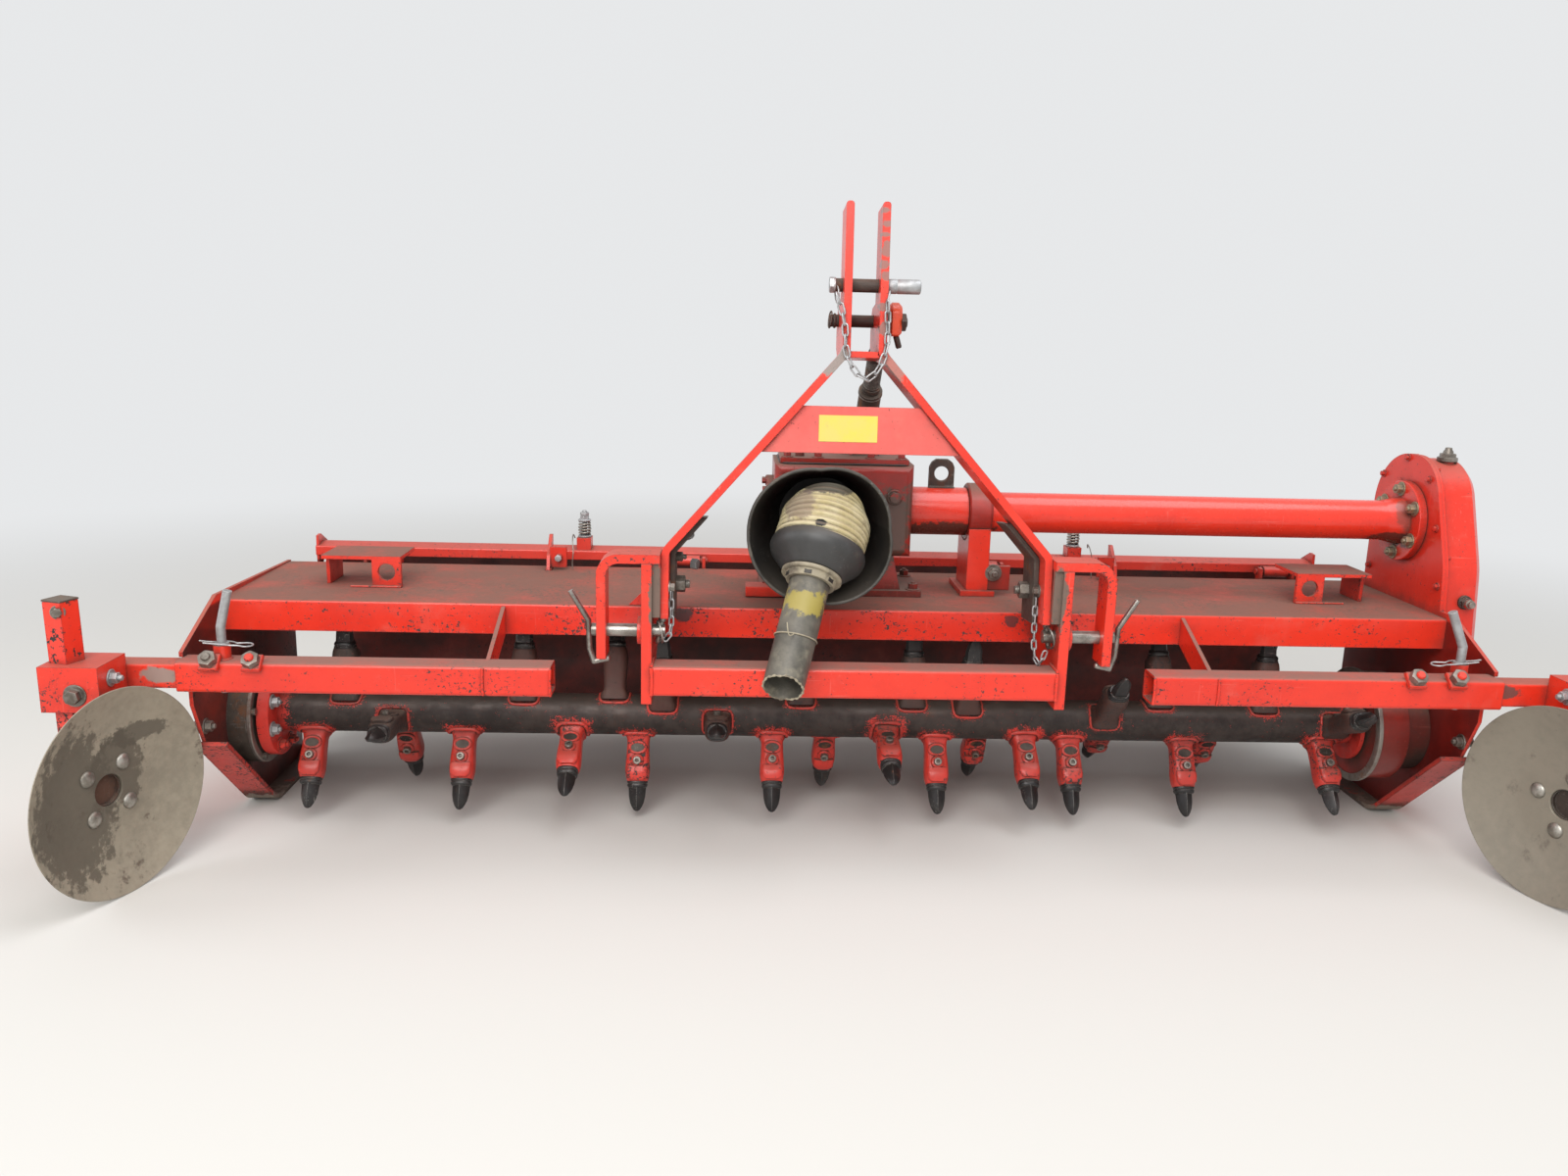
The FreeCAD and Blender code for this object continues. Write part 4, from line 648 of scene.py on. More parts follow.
for material, names in nodeMaterials.items():
    for nodeName in names:
        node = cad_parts[nodeName]
        node.data.materials.clear()
        node.data.materials.append(material)
bare = [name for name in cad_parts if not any(name in names for names in nodeMaterials.values())]
print("materials placed; nodes without one:", bare)

# Shape helpers: each returns (points in millimetres, faces)

def acrossOf(axis):
    axis = Vector(axis).normalized()
    side = (Vector((0, 0, 1)) if abs(axis.z) < 0.9 else Vector((1, 0, 0))).cross(axis).normalized()
    return axis, side, axis.cross(side)


def ringFaces(rings, count, closed=False):
    faces = []
    for k in range(rings if closed else rings - 1):
        a, b = k * count, (k + 1) % rings * count
        faces += [(a + i, a + (i + 1) % count, b + (i + 1) % count, b + i) for i in range(count)]
    return faces


def turnedShape(profile, centre, axis, sides=32, capped=True):
    # profile: (distance along the axis, radius)
    axis, side, other = acrossOf(axis)
    ring = [(cos(2 * pi * i / sides), sin(2 * pi * i / sides)) for i in range(sides)]
    points = [Vector(centre) + axis * s + side * (c * r) + other * (d * r) for s, r in profile for c, d in ring]
    faces = ringFaces(len(profile), sides)
    if capped:
        last = (len(profile) - 1) * sides
        faces += [tuple(range(sides))[::-1], tuple(range(last, last + sides))]
    return points, faces


def ringShape(profile, centre, axis, sides=48):
    # a closed profile turned round the axis
    points, faces = turnedShape(profile + profile[:1], centre, axis, sides, False)
    return points, faces


def loftShape(sections):
    count = len(sections[0])
    points = [Vector(p) for section in sections for p in section]
    last = (len(sections) - 1) * count
    return points, ringFaces(len(sections), count) + [tuple(range(count))[::-1], tuple(range(last, last + count))]


def sweptShape(line, radius, sides=10, closed=False):
    # round bar along a line; radius is a number or one for each point
    line = [Vector(p) for p in line]
    count = len(line)
    radii = radius if hasattr(radius, "__len__") else [radius] * count
    points, side = [], None
    for i, p in enumerate(line):
        before = line[i - 1] if i or closed else p
        after = line[(i + 1) % count] if i + 1 < count or closed else p
        way = (after - before).normalized()
        side = acrossOf(way)[1] if side is None else (side - way * side.dot(way)).normalized()
        other = way.cross(side)
        points += [p + (side * cos(2 * pi * k / sides) + other * sin(2 * pi * k / sides)) * radii[i]
                   for k in range(sides)]
    faces = ringFaces(count, sides, closed)
    if not closed:
        faces += [tuple(range(sides))[::-1], tuple(range((count - 1) * sides, count * sides))]
    return points, faces


def smoothLine(corners, step=6.0, closed=False):
    # Catmull-Rom line through the corners
    corners = [Vector(c) for c in corners]
    count, line = len(corners), []
    for i in range(count if closed else count - 1):
        if closed:
            p = [corners[(i + k) % count] for k in (-1, 0, 1, 2)]
        else:
            p = [corners[min(max(i + k, 0), count - 1)] for k in (-1, 0, 1, 2)]
        pieces = max(2, int((p[2] - p[1]).length / step))
        for j in range(pieces):
            t = j / pieces
            line.append(0.5 * (2 * p[1] + (p[2] - p[0]) * t + (2 * p[0] - 5 * p[1] + 4 * p[2] - p[3]) * t * t
                               + (3 * p[1] - p[0] - 3 * p[2] + p[3]) * t ** 3))
    return line if closed else line + [corners[-1]]


def slabShape(outline, origin, along, up, thickness, chamfer=1.0):
    # flat plate with chamfered rims: outline in (along, up), grown towards along x up
    along, up = Vector(along).normalized(), Vector(up).normalized()
    out = along.cross(up)
    flat = [Vector((a, b, 0)) for a, b in outline]
    area = sum(p.x * flat[i - 1].y - p.y * flat[i - 1].x for i, p in enumerate(flat))
    if area > 0:
        flat.reverse()
    inset = []
    for i, p in enumerate(flat):
        a, b = (p - flat[i - 1]).normalized(), (flat[(i + 1) % len(flat)] - p).normalized()
        normal = Vector((-a.y - b.y, a.x + b.x, 0)).normalized()
        inset.append(p + normal * (chamfer / max(normal.dot(Vector((-a.y, a.x, 0))), 0.4)))
    rows = [(inset, 0), (flat, chamfer), (flat, thickness - chamfer), (inset, thickness)]
    return loftShape([[Vector(origin) + along * p.x + up * p.y + out * h for p in row] for row, h in rows])


def hexShape(centre, axis, flats, height, turn=0.0, hole=0.0):
    # hexagon with its outer end chamfered, as on a bolt head or nut
    axis, side, other = acrossOf(axis)
    half, sides = flats / 2, 24
    rows = []
    for level in (0, 1, 2):
        row = []
        for i in range(sides):
            a = 2 * pi * i / sides
            r = half / cos((a + pi / 6) % (pi / 3) - pi / 6)
            h = 0 if level == 0 else height - (r - half) * 0.55 if level == 1 else height
            r = half * 0.93 if level == 2 else r
            b = a + turn
            row.append(Vector(centre) + axis * h + (side * cos(b) + other * sin(b)) * r)
        rows.append(row)
    return loftShape(rows)


def boltShapes(centre, axis, flats=17.0, turn=0.0, washer=True, stud=0.0):
    # head or nut on its washer, seen from outside; stud is what sticks out of the nut
    axis = Vector(axis).normalized()
    base = Vector(centre)
    shapes = []
    if washer:
        r = flats * 0.86
        shapes.append(turnedShape([(-0.5, r), (1.6, r), (2.2, r - 0.7)], base, axis, 24))
        base = base + axis * 2.0
    shapes.append(hexShape(base, axis, flats, flats * 0.62, turn))
    if stud:
        r, top = flats * 0.29, flats * 0.62
        profile = [(top - 1, r)]
        for i in range(int(stud / 1.5)):
            profile += [(top + i * 1.5, r), (top + i * 1.5 + 0.75, r - 0.7)]
        profile += [(top + stud, r - 0.4), (top + stud + 0.8, r - 1.4)]
        shapes.append(turnedShape(profile, base, axis, 16))
    return shapes


def moved(shape, matrix):
    points, faces = shape
    return [matrix @ p for p in points], faces


def weldShape(line, radius, seed=0):
    # rippled bead along a joint
    line = smoothLine(line, 2.6)
    swell = [radius * (1 + 0.10 * sin(i * 2.4) + 0.07 * sin(i * 0.53 + seed)) for i in range(len(line))]
    return sweptShape(line, swell, 8)


def makePiece(name, shapes, body, material, sharp=38, values=None):
    points, faces = [], []
    for shapePoints, shapeFaces in shapes:
        start = len(points)
        points += [toFrame(p) for p in shapePoints]
        faces += [tuple(i + start for i in face) for face in shapeFaces]
    mesh = bpy.data.meshes.new(name)
    mesh.from_pydata(points, [], faces)
    work = bmesh.new()
    work.from_mesh(mesh)
    bmesh.ops.remove_doubles(work, verts=work.verts, dist=1e-6)
    bmesh.ops.recalc_face_normals(work, faces=work.faces)
    work.to_mesh(mesh)
    work.free()
    mesh.polygons.foreach_set("use_smooth", [True] * len(mesh.polygons))
    mesh.set_sharp_from_angle(angle=radians(sharp))
    mesh.materials.append(material)
    if values is not None:
        name, rule = values
        attribute = mesh.attributes.new(name, "FLOAT", "POINT")
        attribute.data.foreach_set("value", [rule(v.co) for v in mesh.vertices])
    piece = bpy.data.objects.new(mesh.name, mesh)
    scene.collection.objects.link(piece)
    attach(piece, body)
    return piece


# Rotor: tube with welded holders, socket screws and pointed tines

rotor = {
    "y": 300.0, "z": 220.0,
    "tubeRadius": 44.45,
    "left": -1230.0, "tubeLeft": -1205.0, "tubeRight": 1140.0, "right": 1149.0,
    "leftFlange": 96.0, "rightFlange": 78.0,
    "rake": 16.0,
    "tipRadius": 212.0,
    "socketHead": 8.5,
    # share of the tube's length from its left end, angle from straight down towards the front
    "tines": [
        (0.030, 15), (0.060, 165), (0.104, 80), (0.107, -40), (0.166, 15), (0.221, 170), (0.266, 42),
        (0.304, 180), (0.326, 5), (0.349, 150), (0.400, 85), (0.451, 18), (0.477, 170), (0.502, -35),
        (0.557, 55), (0.581, 165), (0.605, 15), (0.633, 150), (0.649, -45), (0.688, 30), (0.731, 18),
        (0.762, 120), (0.774, -60), (0.816, 175), (0.841, 12), (0.876, -50), (0.916, 165), (0.974, 25),
        (0.983, 100),
    ],
}


def tineX(share):
    return rotor["tubeLeft"] + share * (rotor["tubeRight"] - rotor["tubeLeft"])


def onRotor(shape, share, angle, raked=True):
    place = Matrix.Translation((tineX(share), rotor["y"], rotor["z"])) @ Matrix.Rotation(radians(-angle), 4, "X")
    if raked:
        foot = Vector((0, 0, -rotor["tubeRadius"]))
        place = place @ Matrix.Translation(foot) @ Matrix.Rotation(radians(-rotor["rake"]), 4, "X") \
            @ Matrix.Translation(-foot)
    return moved(shape, place)


def roundedSection(w, t, z, power=4.0, y=0.0, count=28):
    points = []
    for i in range(count):
        a = 2 * pi * (i + 0.5) / count
        c, s = cos(a), sin(a)
        points.append((w / 2 * math.copysign(abs(c) ** (2 / power), c),
                       y + t / 2 * math.copysign(abs(s) ** (2 / power), s), z))
    return points


def holderShape():
    rows = [(60, 54, -36, 5, 0), (58, 50, -47, 5, 0), (50, 43, -54, 4.5, 0), (48, 41, -62, 4, 0), (49, 42, -84, 4, -0.5),
            (51, 45, -98, 3.6, -1), (53, 47, -116, 3.4, 0), (53, 47, -128, 3.2, 1), (50, 45, -139, 3, 2),
            (46, 41, -146, 2.8, 3), (42, 38, -148.5, 2.6, 4)]
    return loftShape([roundedSection(w, t, z, power, y) for w, t, z, power, y in rows])


def holderPads():
    # raised rim of the pocket behind the screw, the pad that the screw sits on, and the nose over the tine
    shapes = []
    rim = [(17 * cos(a), -21.5, -74 + 12 * sin(a)) for a in [2 * pi * i / 20 for i in range(20)]]
    shapes.append(sweptShape(rim, 3.2, 8, True))
    pad = [(14 * cos(a), 14 * sin(a)) for a in [2 * pi * i / 24 for i in range(24)]]
    shapes.append(slabShape(pad, (0, -20, -102), (1, 0, 0), (0, 0, 1), 6.5, 2.0))
    shapes.append(loftShape([roundedSection(44, 10, -114, 3, -22), roundedSection(45, 12, -124, 3, -23),
                             roundedSection(43, 12, -136, 2.6, -22), roundedSection(28, 9, -144, 2.4, -20)]))
    return shapes


def pocketShape():
    oval = [(15 * cos(a), 10 * sin(a)) for a in [2 * pi * i / 20 for i in range(20)]]
    return slabShape(oval, (0, -19, -74), (1, 0, 0), (0, 0, 1), 3.4, 0.6)


def screwShapes():
    r = rotor["socketHead"]
    head = turnedShape([(0, r), (8.4, r), (9.2, r - 0.9), (9.2, 4.3), (4.5, 4.0), (4.5, 0.01)], (0, -26, -102),
                       (0, -1, 0), 20)
    return [head]


def tineSection(z, w, t, ridge, y):
    # eight-sided, with a ridge down the front face
    return [(-w, y + 0.2 * t, z), (-w * 0.62, y - t * 0.7, z), (0, y - t - ridge, z), (w * 0.62, y - t * 0.7, z),
            (w, y + 0.2 * t, z), (w * 0.7, y + t * 0.9, z), (0, y + t, z), (-w * 0.7, y + t * 0.9, z)]


def tineShapes():
    tip = -rotor["tipRadius"]
    blade = loftShape([tineSection(-120, 17, 13, 0, 0), tineSection(-149, 19.5, 15.5, 1.0, 1),
                       tineSection(-163, 19, 13.8, 2.6, 1), tineSection(-180, 17.8, 11.8, 3.4, 0.5),
                       tineSection(-193, 15.2, 9.6, 3.2, 0), tineSection(-202, 11.4, 7.2, 2.2, 0),
                       tineSection(tip + 3, 6.8, 4.6, 1.0, 0), tineSection(tip + 0.4, 2.4, 1.8, 0.1, 0)])
    collar = loftShape([roundedSection(41, 36, -143, 2.8, 2), roundedSection(45, 39, -147, 2.6, 2),
                        roundedSection(45, 39, -150, 2.6, 2), roundedSection(41.5, 36, -152, 2.6, 2),
                        roundedSection(44, 38, -154.5, 2.6, 2), roundedSection(43, 37, -158, 2.6, 2),
                        roundedSection(38.5, 33, -161, 2.6, 2)])
    return [blade, collar]


def footWeld(seed, thick=4.6):
    # bead where the foot meets the tube, following its roundness
    line = []
    for i in range(28):
        a = 2 * pi * i / 28
        x = 32 * math.copysign(abs(cos(a)) ** 0.4, cos(a))
        y = 28 * math.copysign(abs(sin(a)) ** 0.4, sin(a))
        line.append((x, y, -math.sqrt(max(rotor["tubeRadius"] ** 2 - y * y, 100)) - 0.5))
    swell = [thick * (1 + 0.16 * sin(i * 2.3 + seed)) for i in range(28)]
    return sweptShape(line, swell, 8, True)


def sprayAt(p):
    # 1 beside a weld, falling to 0 on bare tube
    x, y, z = p.x * 1000, p.y * 1000 + rearShift - rotor["y"], p.z * 1000 - rotor["z"]
    if math.hypot(y, z) > rotor["tubeRadius"] + 3:
        return 1.0
    turn = math.atan2(-y, -z)
    best = 200.0
    for share, angle in rotor["tines"]:
        gap = (turn - radians(angle) + pi) % (2 * pi) - pi
        away = math.hypot(max(abs(x - tineX(share)) - 26, 0), max(abs(gap * rotor["tubeRadius"]) - 24, 0))
        best = min(best, away + (9 if abs(angle) >= 80 else 0))
    best = min(best, abs(x - rotor["tubeLeft"]) - 4, abs(x - rotor["tubeRight"]) - 4)
    return max(0.0, min(1.0, 1.0 - best / 30.0))


def addRotor():
    y, z, r = rotor["y"], rotor["z"], rotor["tubeRadius"]
    left, tubeLeft, tubeRight, right = (rotor[k] for k in ("left", "tubeLeft", "tubeRight", "right"))
    profile = [(tubeLeft + i * (tubeRight - tubeLeft) / 300, r) for i in range(301)]
    tube = turnedShape(profile, (0, y, z), (1, 0, 0), 56, False)
    ends = [turnedShape([(left, 20), (left, rotor["leftFlange"] - 1.5), (left + 1.5, rotor["leftFlange"]),
                         (tubeLeft - 1.5, rotor["leftFlange"]), (tubeLeft, rotor["leftFlange"] - 1.5),
                         (tubeLeft, r - 1)], (0, y, z), (1, 0, 0), 64),
            turnedShape([(tubeRight, r - 1), (tubeRight, rotor["rightFlange"]), (right, rotor["rightFlange"]),
                         (right, 20)], (0, y, z), (1, 0, 0), 64),
            turnedShape([(-1289, 24), (-1287, 25), (left + 1, 25)], (0, y, z), (1, 0, 0)),
            turnedShape([(right - 1, 25), (1287, 25), (1289, 24)], (0, y, z), (1, 0, 0))]
    body = makePiece("rotorBody", [tube] + ends, "rotor", rotorTubeSteel, 40, ("spray", sprayAt))
    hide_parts("rotor_tube")
    holders, pads, pockets, screws, blades, beads = [], [], [], [], [], []
    one, padOne, pocketOne, screwOne = holderShape(), holderPads(), pocketShape(), screwShapes()
    bladeOne = tineShapes()
    for seed, (share, angle) in enumerate(rotor["tines"]):
        holders.append(onRotor(one, share, angle))
        pads += [onRotor(s, share, angle) for s in padOne]
        pockets.append(onRotor(pocketOne, share, angle))
        screws += [onRotor(s, share, angle) for s in screwOne]
        blades += [onRotor(s, share, angle) for s in bladeOne]
        beads.append(onRotor(footWeld(seed, 3.2 if abs(angle) >= 80 else 4.6), share, angle, False))
    # the holders that point up, under the hood, get paint darkened by dirt and painted shade
    upper = [i for i, (share, angle) in enumerate(rotor["tines"]) if abs(angle) >= 80]
    dirty = [s for i in upper for s in [holders[i]] + pads[3 * i:3 * i + 3]]
    clean = [s for i, one in enumerate(holders) if i not in upper for s in [one] + pads[3 * i:3 * i + 3]]
    makePiece("tineHolders", clean + beads, "rotor", holderPaint, 50)
    makePiece("tineHoldersDirtyShaded", dirty, "rotor", dirtyShadedHolder, 50)
    makePiece("holderPockets", pockets, "rotor", workedSteel, 40)
    makePiece("holderScrews", screws, "rotor", boltSteel, 40)
    tines = makePiece("tineBlades", blades, "rotor", tineSteel, 30)
    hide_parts("rotor_tines")
    bolts = []
    for i in range(8):
        a = 2 * pi * i / 8 + 0.25
        spot = (tubeLeft, y + 76 * cos(a), z + 76 * sin(a))
        bolts.append(boltShapes(spot, (1, 0, 0), 19, a * 3, True, 4))
    makePiece("rotorFlangeBolts", sum(bolts[:3] + bolts[5:], []), "rotor", boltPaint, 35)
    makePiece("rotorNewBolts", bolts[3] + bolts[4], "rotor", zincBright, 35)


addRotor()
print("rotor dressed")


# Smaller shapes

def boxShape(x0, x1, y0, y1, z0, z1, chamfer=1.0):
    return slabShape([(x0, z0), (x1, z0), (x1, z1), (x0, z1)], (0, y1, 0), (1, 0, 0), (0, 0, 1), y1 - y0, chamfer)


def holedSlab(outline, centre, radius, origin, along, up, thickness, count=64):
    # plate with a round hole; rays from the hole's centre find the outline
    along, up = Vector(along).normalized(), Vector(up).normalized()
    out, (a0, b0) = along.cross(up), centre
    inner, outer = [], []
    for i in range(count):
        c, s = cos(2 * pi * i / count), sin(2 * pi * i / count)
        reach = []
        for (xa, ya), (xb, yb) in zip(outline, outline[1:] + outline[:1]):
            ex, ey = xb - xa, yb - ya
            cross = c * ey - s * ex
            if abs(cross) > 1e-9:
                t, u = ((xa - a0) * ey - (ya - b0) * ex) / cross, ((xa - a0) * s - (ya - b0) * c) / cross
                if t > 0 and -1e-6 < u < 1 + 1e-6:
                    reach.append(t)
        inner.append((a0 + c * radius, b0 + s * radius))
        outer.append((a0 + c * min(reach), b0 + s * min(reach)))
    rows = [(inner, 0), (outer, 0), (outer, thickness), (inner, thickness)]
    points = [Vector(origin) + along * a + up * b + out * h for row, h in rows for a, b in row]
    return points, ringFaces(4, count, True)


def wireRing(centre, axis, radius, wire, count=28):
    axis, side, other = acrossOf(axis)
    line = [Vector(centre) + (side * cos(2 * pi * i / count) + other * sin(2 * pi * i / count)) * radius
            for i in range(count)]
    return sweptShape(line, wire, 8, True)


def chainShapes(path, length, width, wire, turn=20.0):
    # links laid end to end along the path, every second one turned a quarter
    half, r = (length - width) / 2, width / 2 - wire
    arc = [(half + r * cos(a), r * sin(a), 0) for a in [pi * (i / 8 - 0.5) for i in range(9)]]
    one = sweptShape(arc + [(-x, -y, 0) for x, y, z in arc], wire, 8, True)
    line, pitch = smoothLine(path, 1.0), length - 4 * wire
    spots, gone = [line[0]], 0.0
    for a, b in zip(line, line[1:]):
        gone += (b - a).length
        if gone >= pitch:
            spots.append(b)
            gone -= pitch
    shapes = []
    for i, (a, b) in enumerate(zip(spots, spots[1:])):
        way, side, other = acrossOf(b - a)
        t = radians(turn + 90 * (i % 2))
        flat = side * cos(t) + other * sin(t)
        place = Matrix.Translation((a + b) / 2) @ Matrix((way, flat, way.cross(flat))).transposed().to_4x4()
        shapes.append(moved(one, place))
    return shapes


def roundedLine(corners, radii, step=10.0):
    # closed outline with each corner rounded
    line, corners = [], [Vector((a, b, 0)) for a, b in corners]
    for i, p in enumerate(corners):
        back, ahead = (corners[i - 1] - p).normalized(), (corners[(i + 1) % len(corners)] - p).normalized()
        half = back.angle(ahead) / 2
        run = radii[i] / math.tan(half)
        start, end = p + back * run, p + ahead * run
        middle = p + (back + ahead).normalized() * (radii[i] / sin(half))
        pieces = max(2, int(radii[i] * (pi - 2 * half) / step))
        for k in range(pieces + 1):
            q = start.lerp(end, k / pieces)
            line.append(middle + (q - middle).normalized() * radii[i])
    return [(p.x, p.y) for p in line]


# Mast: pins, chain, doublers and the bare sign

mast = {
    "front": 18.0, "foot": 508.0, "lean": 6.0,
    "linkPin": (124.6, 1140.0),            # y, z
    "strutPin": (190.0, 1074.0),
    "chain": [(-56, 77, 1124), (-44, 71, 1087), (-38, 68, 1057), (-36, 64, 1020), (-19, 60, 984), (4, 58, 967),
              (27, 60.5, 988.5), (40.5, 65, 1030), (41, 70, 1075), (39.5, 74, 1116), (44, 86, 1128)],
    "link": (27.0, 14.0, 1.8),             # length, width and wire radius of a chain link
    "sign": (-26.0, 877.0, 112.0, 50.0),   # x, height before the lean, width, height
    "doubler": [(362, 505), (362, 634), (304, 700), (291, 700), (352, 630.5), (352, 505)],
    "doublerDepth": (60.0, 150.0),
    "nut": (352.0, 112.0, 557.0),
}


def leaned(shape):
    base = Matrix.Translation((0, mast["front"], mast["foot"]))
    return moved(shape, base @ Matrix.Rotation(-radians(mast["lean"]), 4, "X") @ base.inverted())


def addMastParts():
    y, z = mast["linkPin"]
    pin = makePiece("topPinBody", [turnedShape([(-60, 12.6), (44, 12.6)], (0, y, z), (1, 0, 0))], "frame", dustySteel)
    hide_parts("top_link_pin")
    grip = turnedShape([(41.8, 12.7), (43.5, 13.9), (60, 13.9), (61, 13.2), (62.5, 13.2), (63.5, 13.9), (104.5, 13.9),
                        (106.5, 12.8), (107.4, 10.5)], (0, y, z), (1, 0, 0), 40)
    makePiece("topPinGrip", [grip, hexShape((-58.5, y, z), (-1, 0, 0), 27, 8.5, 0.3),
                             turnedShape([(-58.5, 14.5), (-56, 14.5), (-55, 13.4)], (0, y, z), (1, 0, 0)),
                             wireRing((-52, y - 4, z - 17), (1, 0.15, 0.1), 17, 1.3)], "frame", zincBright)
    makePiece("mastChain", chainShapes(mast["chain"], *mast["link"]), "frame", zincBright, 50)
    y, z = mast["strutPin"]
    lever = slabShape([(171, 1050), (175, 1047), (205, 1047), (209, 1050), (212, 1090), (208, 1102), (200, 1109),
                       (190, 1112), (180, 1109), (172, 1102), (169, 1090)], (56.1, 0, 0), (0, 1, 0), (0, 0, 1), 26, 6.5)
    block = makePiece("strutPinLever", [lever], "frame", leverPaint)
    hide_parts("strut_pin")
    makePiece("strutPinBody", [turnedShape([(-61, 10.5), (-59, 12), (57, 12)], (0, y, z), (1, 0, 0)),
                               turnedShape([(47, 13), (48, 14.5), (51, 14.5), (52, 13)], (0, y, z), (-1, 0, 0)),
                               hexShape((82, y, z), (1, 0, 0), 32, 9.5, 0.4),
                               turnedShape([(91, 9.5), (93.5, 9), (94, 8)], (0, y, z), (1, 0, 0)),
                               turnedShape([(0, 6), (22, 6), (25, 4.5)], (72, y - 6, 1048), (0.3, -0.1, -1), 20),
                               wireRing((-58, y, z + 2), (1, 0.1, -0.1), 16, 1.5)], "frame", eyeSteel)
    x, height, w, h = mast["sign"]
    sign = slabShape([(x - w / 2, height - h / 2), (x + w / 2, height - h / 2), (x + w / 2, height + h / 2),
                      (x - w / 2, height + h / 2)], (0, mast["front"] + 10.3, 0), (1, 0, 0), (0, 0, 1), 1.0, 0.25)
    makePiece("blankSign", [leaned(sign)], "frame", stickerYellow)
    near, far = mast["doublerDepth"]
    doublers, nuts = [], []
    for side in (-1, 1):
        outline = [(side * a, b) for a, b in mast["doubler"]]
        doublers.append(leaned(slabShape(outline, (0, far, 0), (1, 0, 0), (0, 0, 1), far - near, 1.5)))
        a, b, c = mast["nut"]
        nuts += boltShapes((side * a, b, c), (-side, 0, 0), 30, 0.2 + side * 0.15, False, 8)
    nuts += boltShapes((-352, 132, 608), (1, -0.15, 0), 19, 0.3, False, 7)
    makePiece("mastDoublers", doublers, "frame", dustySteel)
    makePiece("mastFootNuts", nuts, "frame", boltSteel)
    makePiece("mastFootBolt", boltShapes((-322, 150, 590), (1, -0.4, 0), 20, 0.1, False)
              + boltShapes((-328, 92, 660), (0.8, -0.7, 0), 13, 0.1), "frame", zincBright)
    beads = []
    for side in (-1, 1):
        for low, high, front in ((834, 914, 27.6), (1002, 1016, 40.0)):
            rows = [(side * (26.5 + max(0.0, mastNeck - q) * 0.878), front, q) for q in (low, (low + high) / 2, high)]
            beads.append(leaned(weldShape(rows, 3.0, side)))
    makePiece("mastWelds", beads, "frame", mastPaint, 50)


mastNeck = 1022.0
addMastParts()


# Lower hitch: chains, linch pins and bolts

hitch = {
    "leftChain": [(-357, 34, 560), (-357, 34, 528), (-357, 34, 492), (-360, 33, 472), (-370, 32, 462), (-379, 31, 468)],
    "rightChain": [(357, 62, 552), (357, 60, 510), (358, 56, 462), (361, 48, 428), (368, 38, 424), (374, 32, 444),
                   (378, 30, 464)],
    "link": (24.0, 12.4, 1.75),
    "linch": [(-379.0, 38.0), (379.0, 38.0)],
    "pin": (38.0, 480.0),
}


def linchShapes(x, y):
    # drop pin through the end of the link pin, with its spring ring
    z = hitch["pin"][1]
    lean = 0.2 if x < 0 else -0.15
    pin = sweptShape([(x - lean * 26, y, z - 26), (x - lean * 23, y, z - 22), (x, y, z), (x + lean * 20, y, z + 20),
                      (x + lean * 25, y - 1, z + 27)], [2.5, 4.8, 4.8, 4.8, 6.0], 14)
    head = turnedShape([(0, 5), (1.5, 7.5), (9, 7.5), (11, 5)], (x + lean * 18, y, z + 18), (lean, 0, 1), 20)
    ring = wireRing((x + lean * 4, y - 13, z + 1), (1, 0.25, 0.2), 21, 2.0, 32)
    return [pin, head, ring]


def addHitchParts():
    links = chainShapes(hitch["leftChain"], *hitch["link"]) + chainShapes(hitch["rightChain"], *hitch["link"], turn=5)
    makePiece("hitchChains", links, "frame", zincBright, 50)
    makePiece("linchPins", [s for x, y in hitch["linch"] for s in linchShapes(x, y)], "frame", wornPin)
    hooks = [boltShapes((side * 362, 36 + 26 * (side > 0), 566), (-side, 0, 0), 15, 0.2) for side in (-1, 1)]
    makePiece("chainBolts", [s for shapes in hooks for s in shapes], "frame", boltSteel)
    beads = []
    for side in (-1, 1):
        x = side * 392.3
        beads.append(weldShape([(x, -7, 362), (x - side * 1, -9, 390), (x, -7, 417)], 3.6, side))
        beads.append(weldShape([(x, -6, 420.5), (x, 22, 421), (x, 50, 420.5)], 3.4, side + 1))
        x = side * 412.8
        beads.append(weldShape([(x, 6, 619), (x, 34, 619.5), (x, 62, 619)], 3.2, side + 2))
        beads.append(weldShape([(side * 413, 206, 489), (side * 413.4, 214, 500), (side * 413, 220, 528)], 3.0, side))
        line = [(side * 412.8, 38 + 27.6 * cos(a), 480 + 27.6 * sin(a))
                for a in [2 * pi * i / 14 for i in range(15)]]
        beads.append(weldShape(line, 2.4, side))
    makePiece("hitchWelds", beads, "frame", platePaint, 50)


addHitchParts()
print("mast and hitch dressed")


# Front beams: set screws, spring clips and clamp bolts

beams = {
    "edge": (-8.0, 415.0),                         # y, z of the beam's upper front edge
    "setScrews": [(-1219.0, "plain"), (-1140.0, "painted"), (1103.0, "painted"), (1185.0, "painted")],
    "padSize": 34.0, "screwHead": 29.0,
    "clipHeight": 446.0,
    "clips": [(-1207.0, 1, 4.0), (1207.0, -1, -6.0)],    # x of the drop pin, way of the loop, turn
    "clampBolts": [(-1419.0, 378.0), (1421.0, 380.0)],
    "innerBolts": [(-1376.0, 399.0), (1376.0, 402.0)],
}


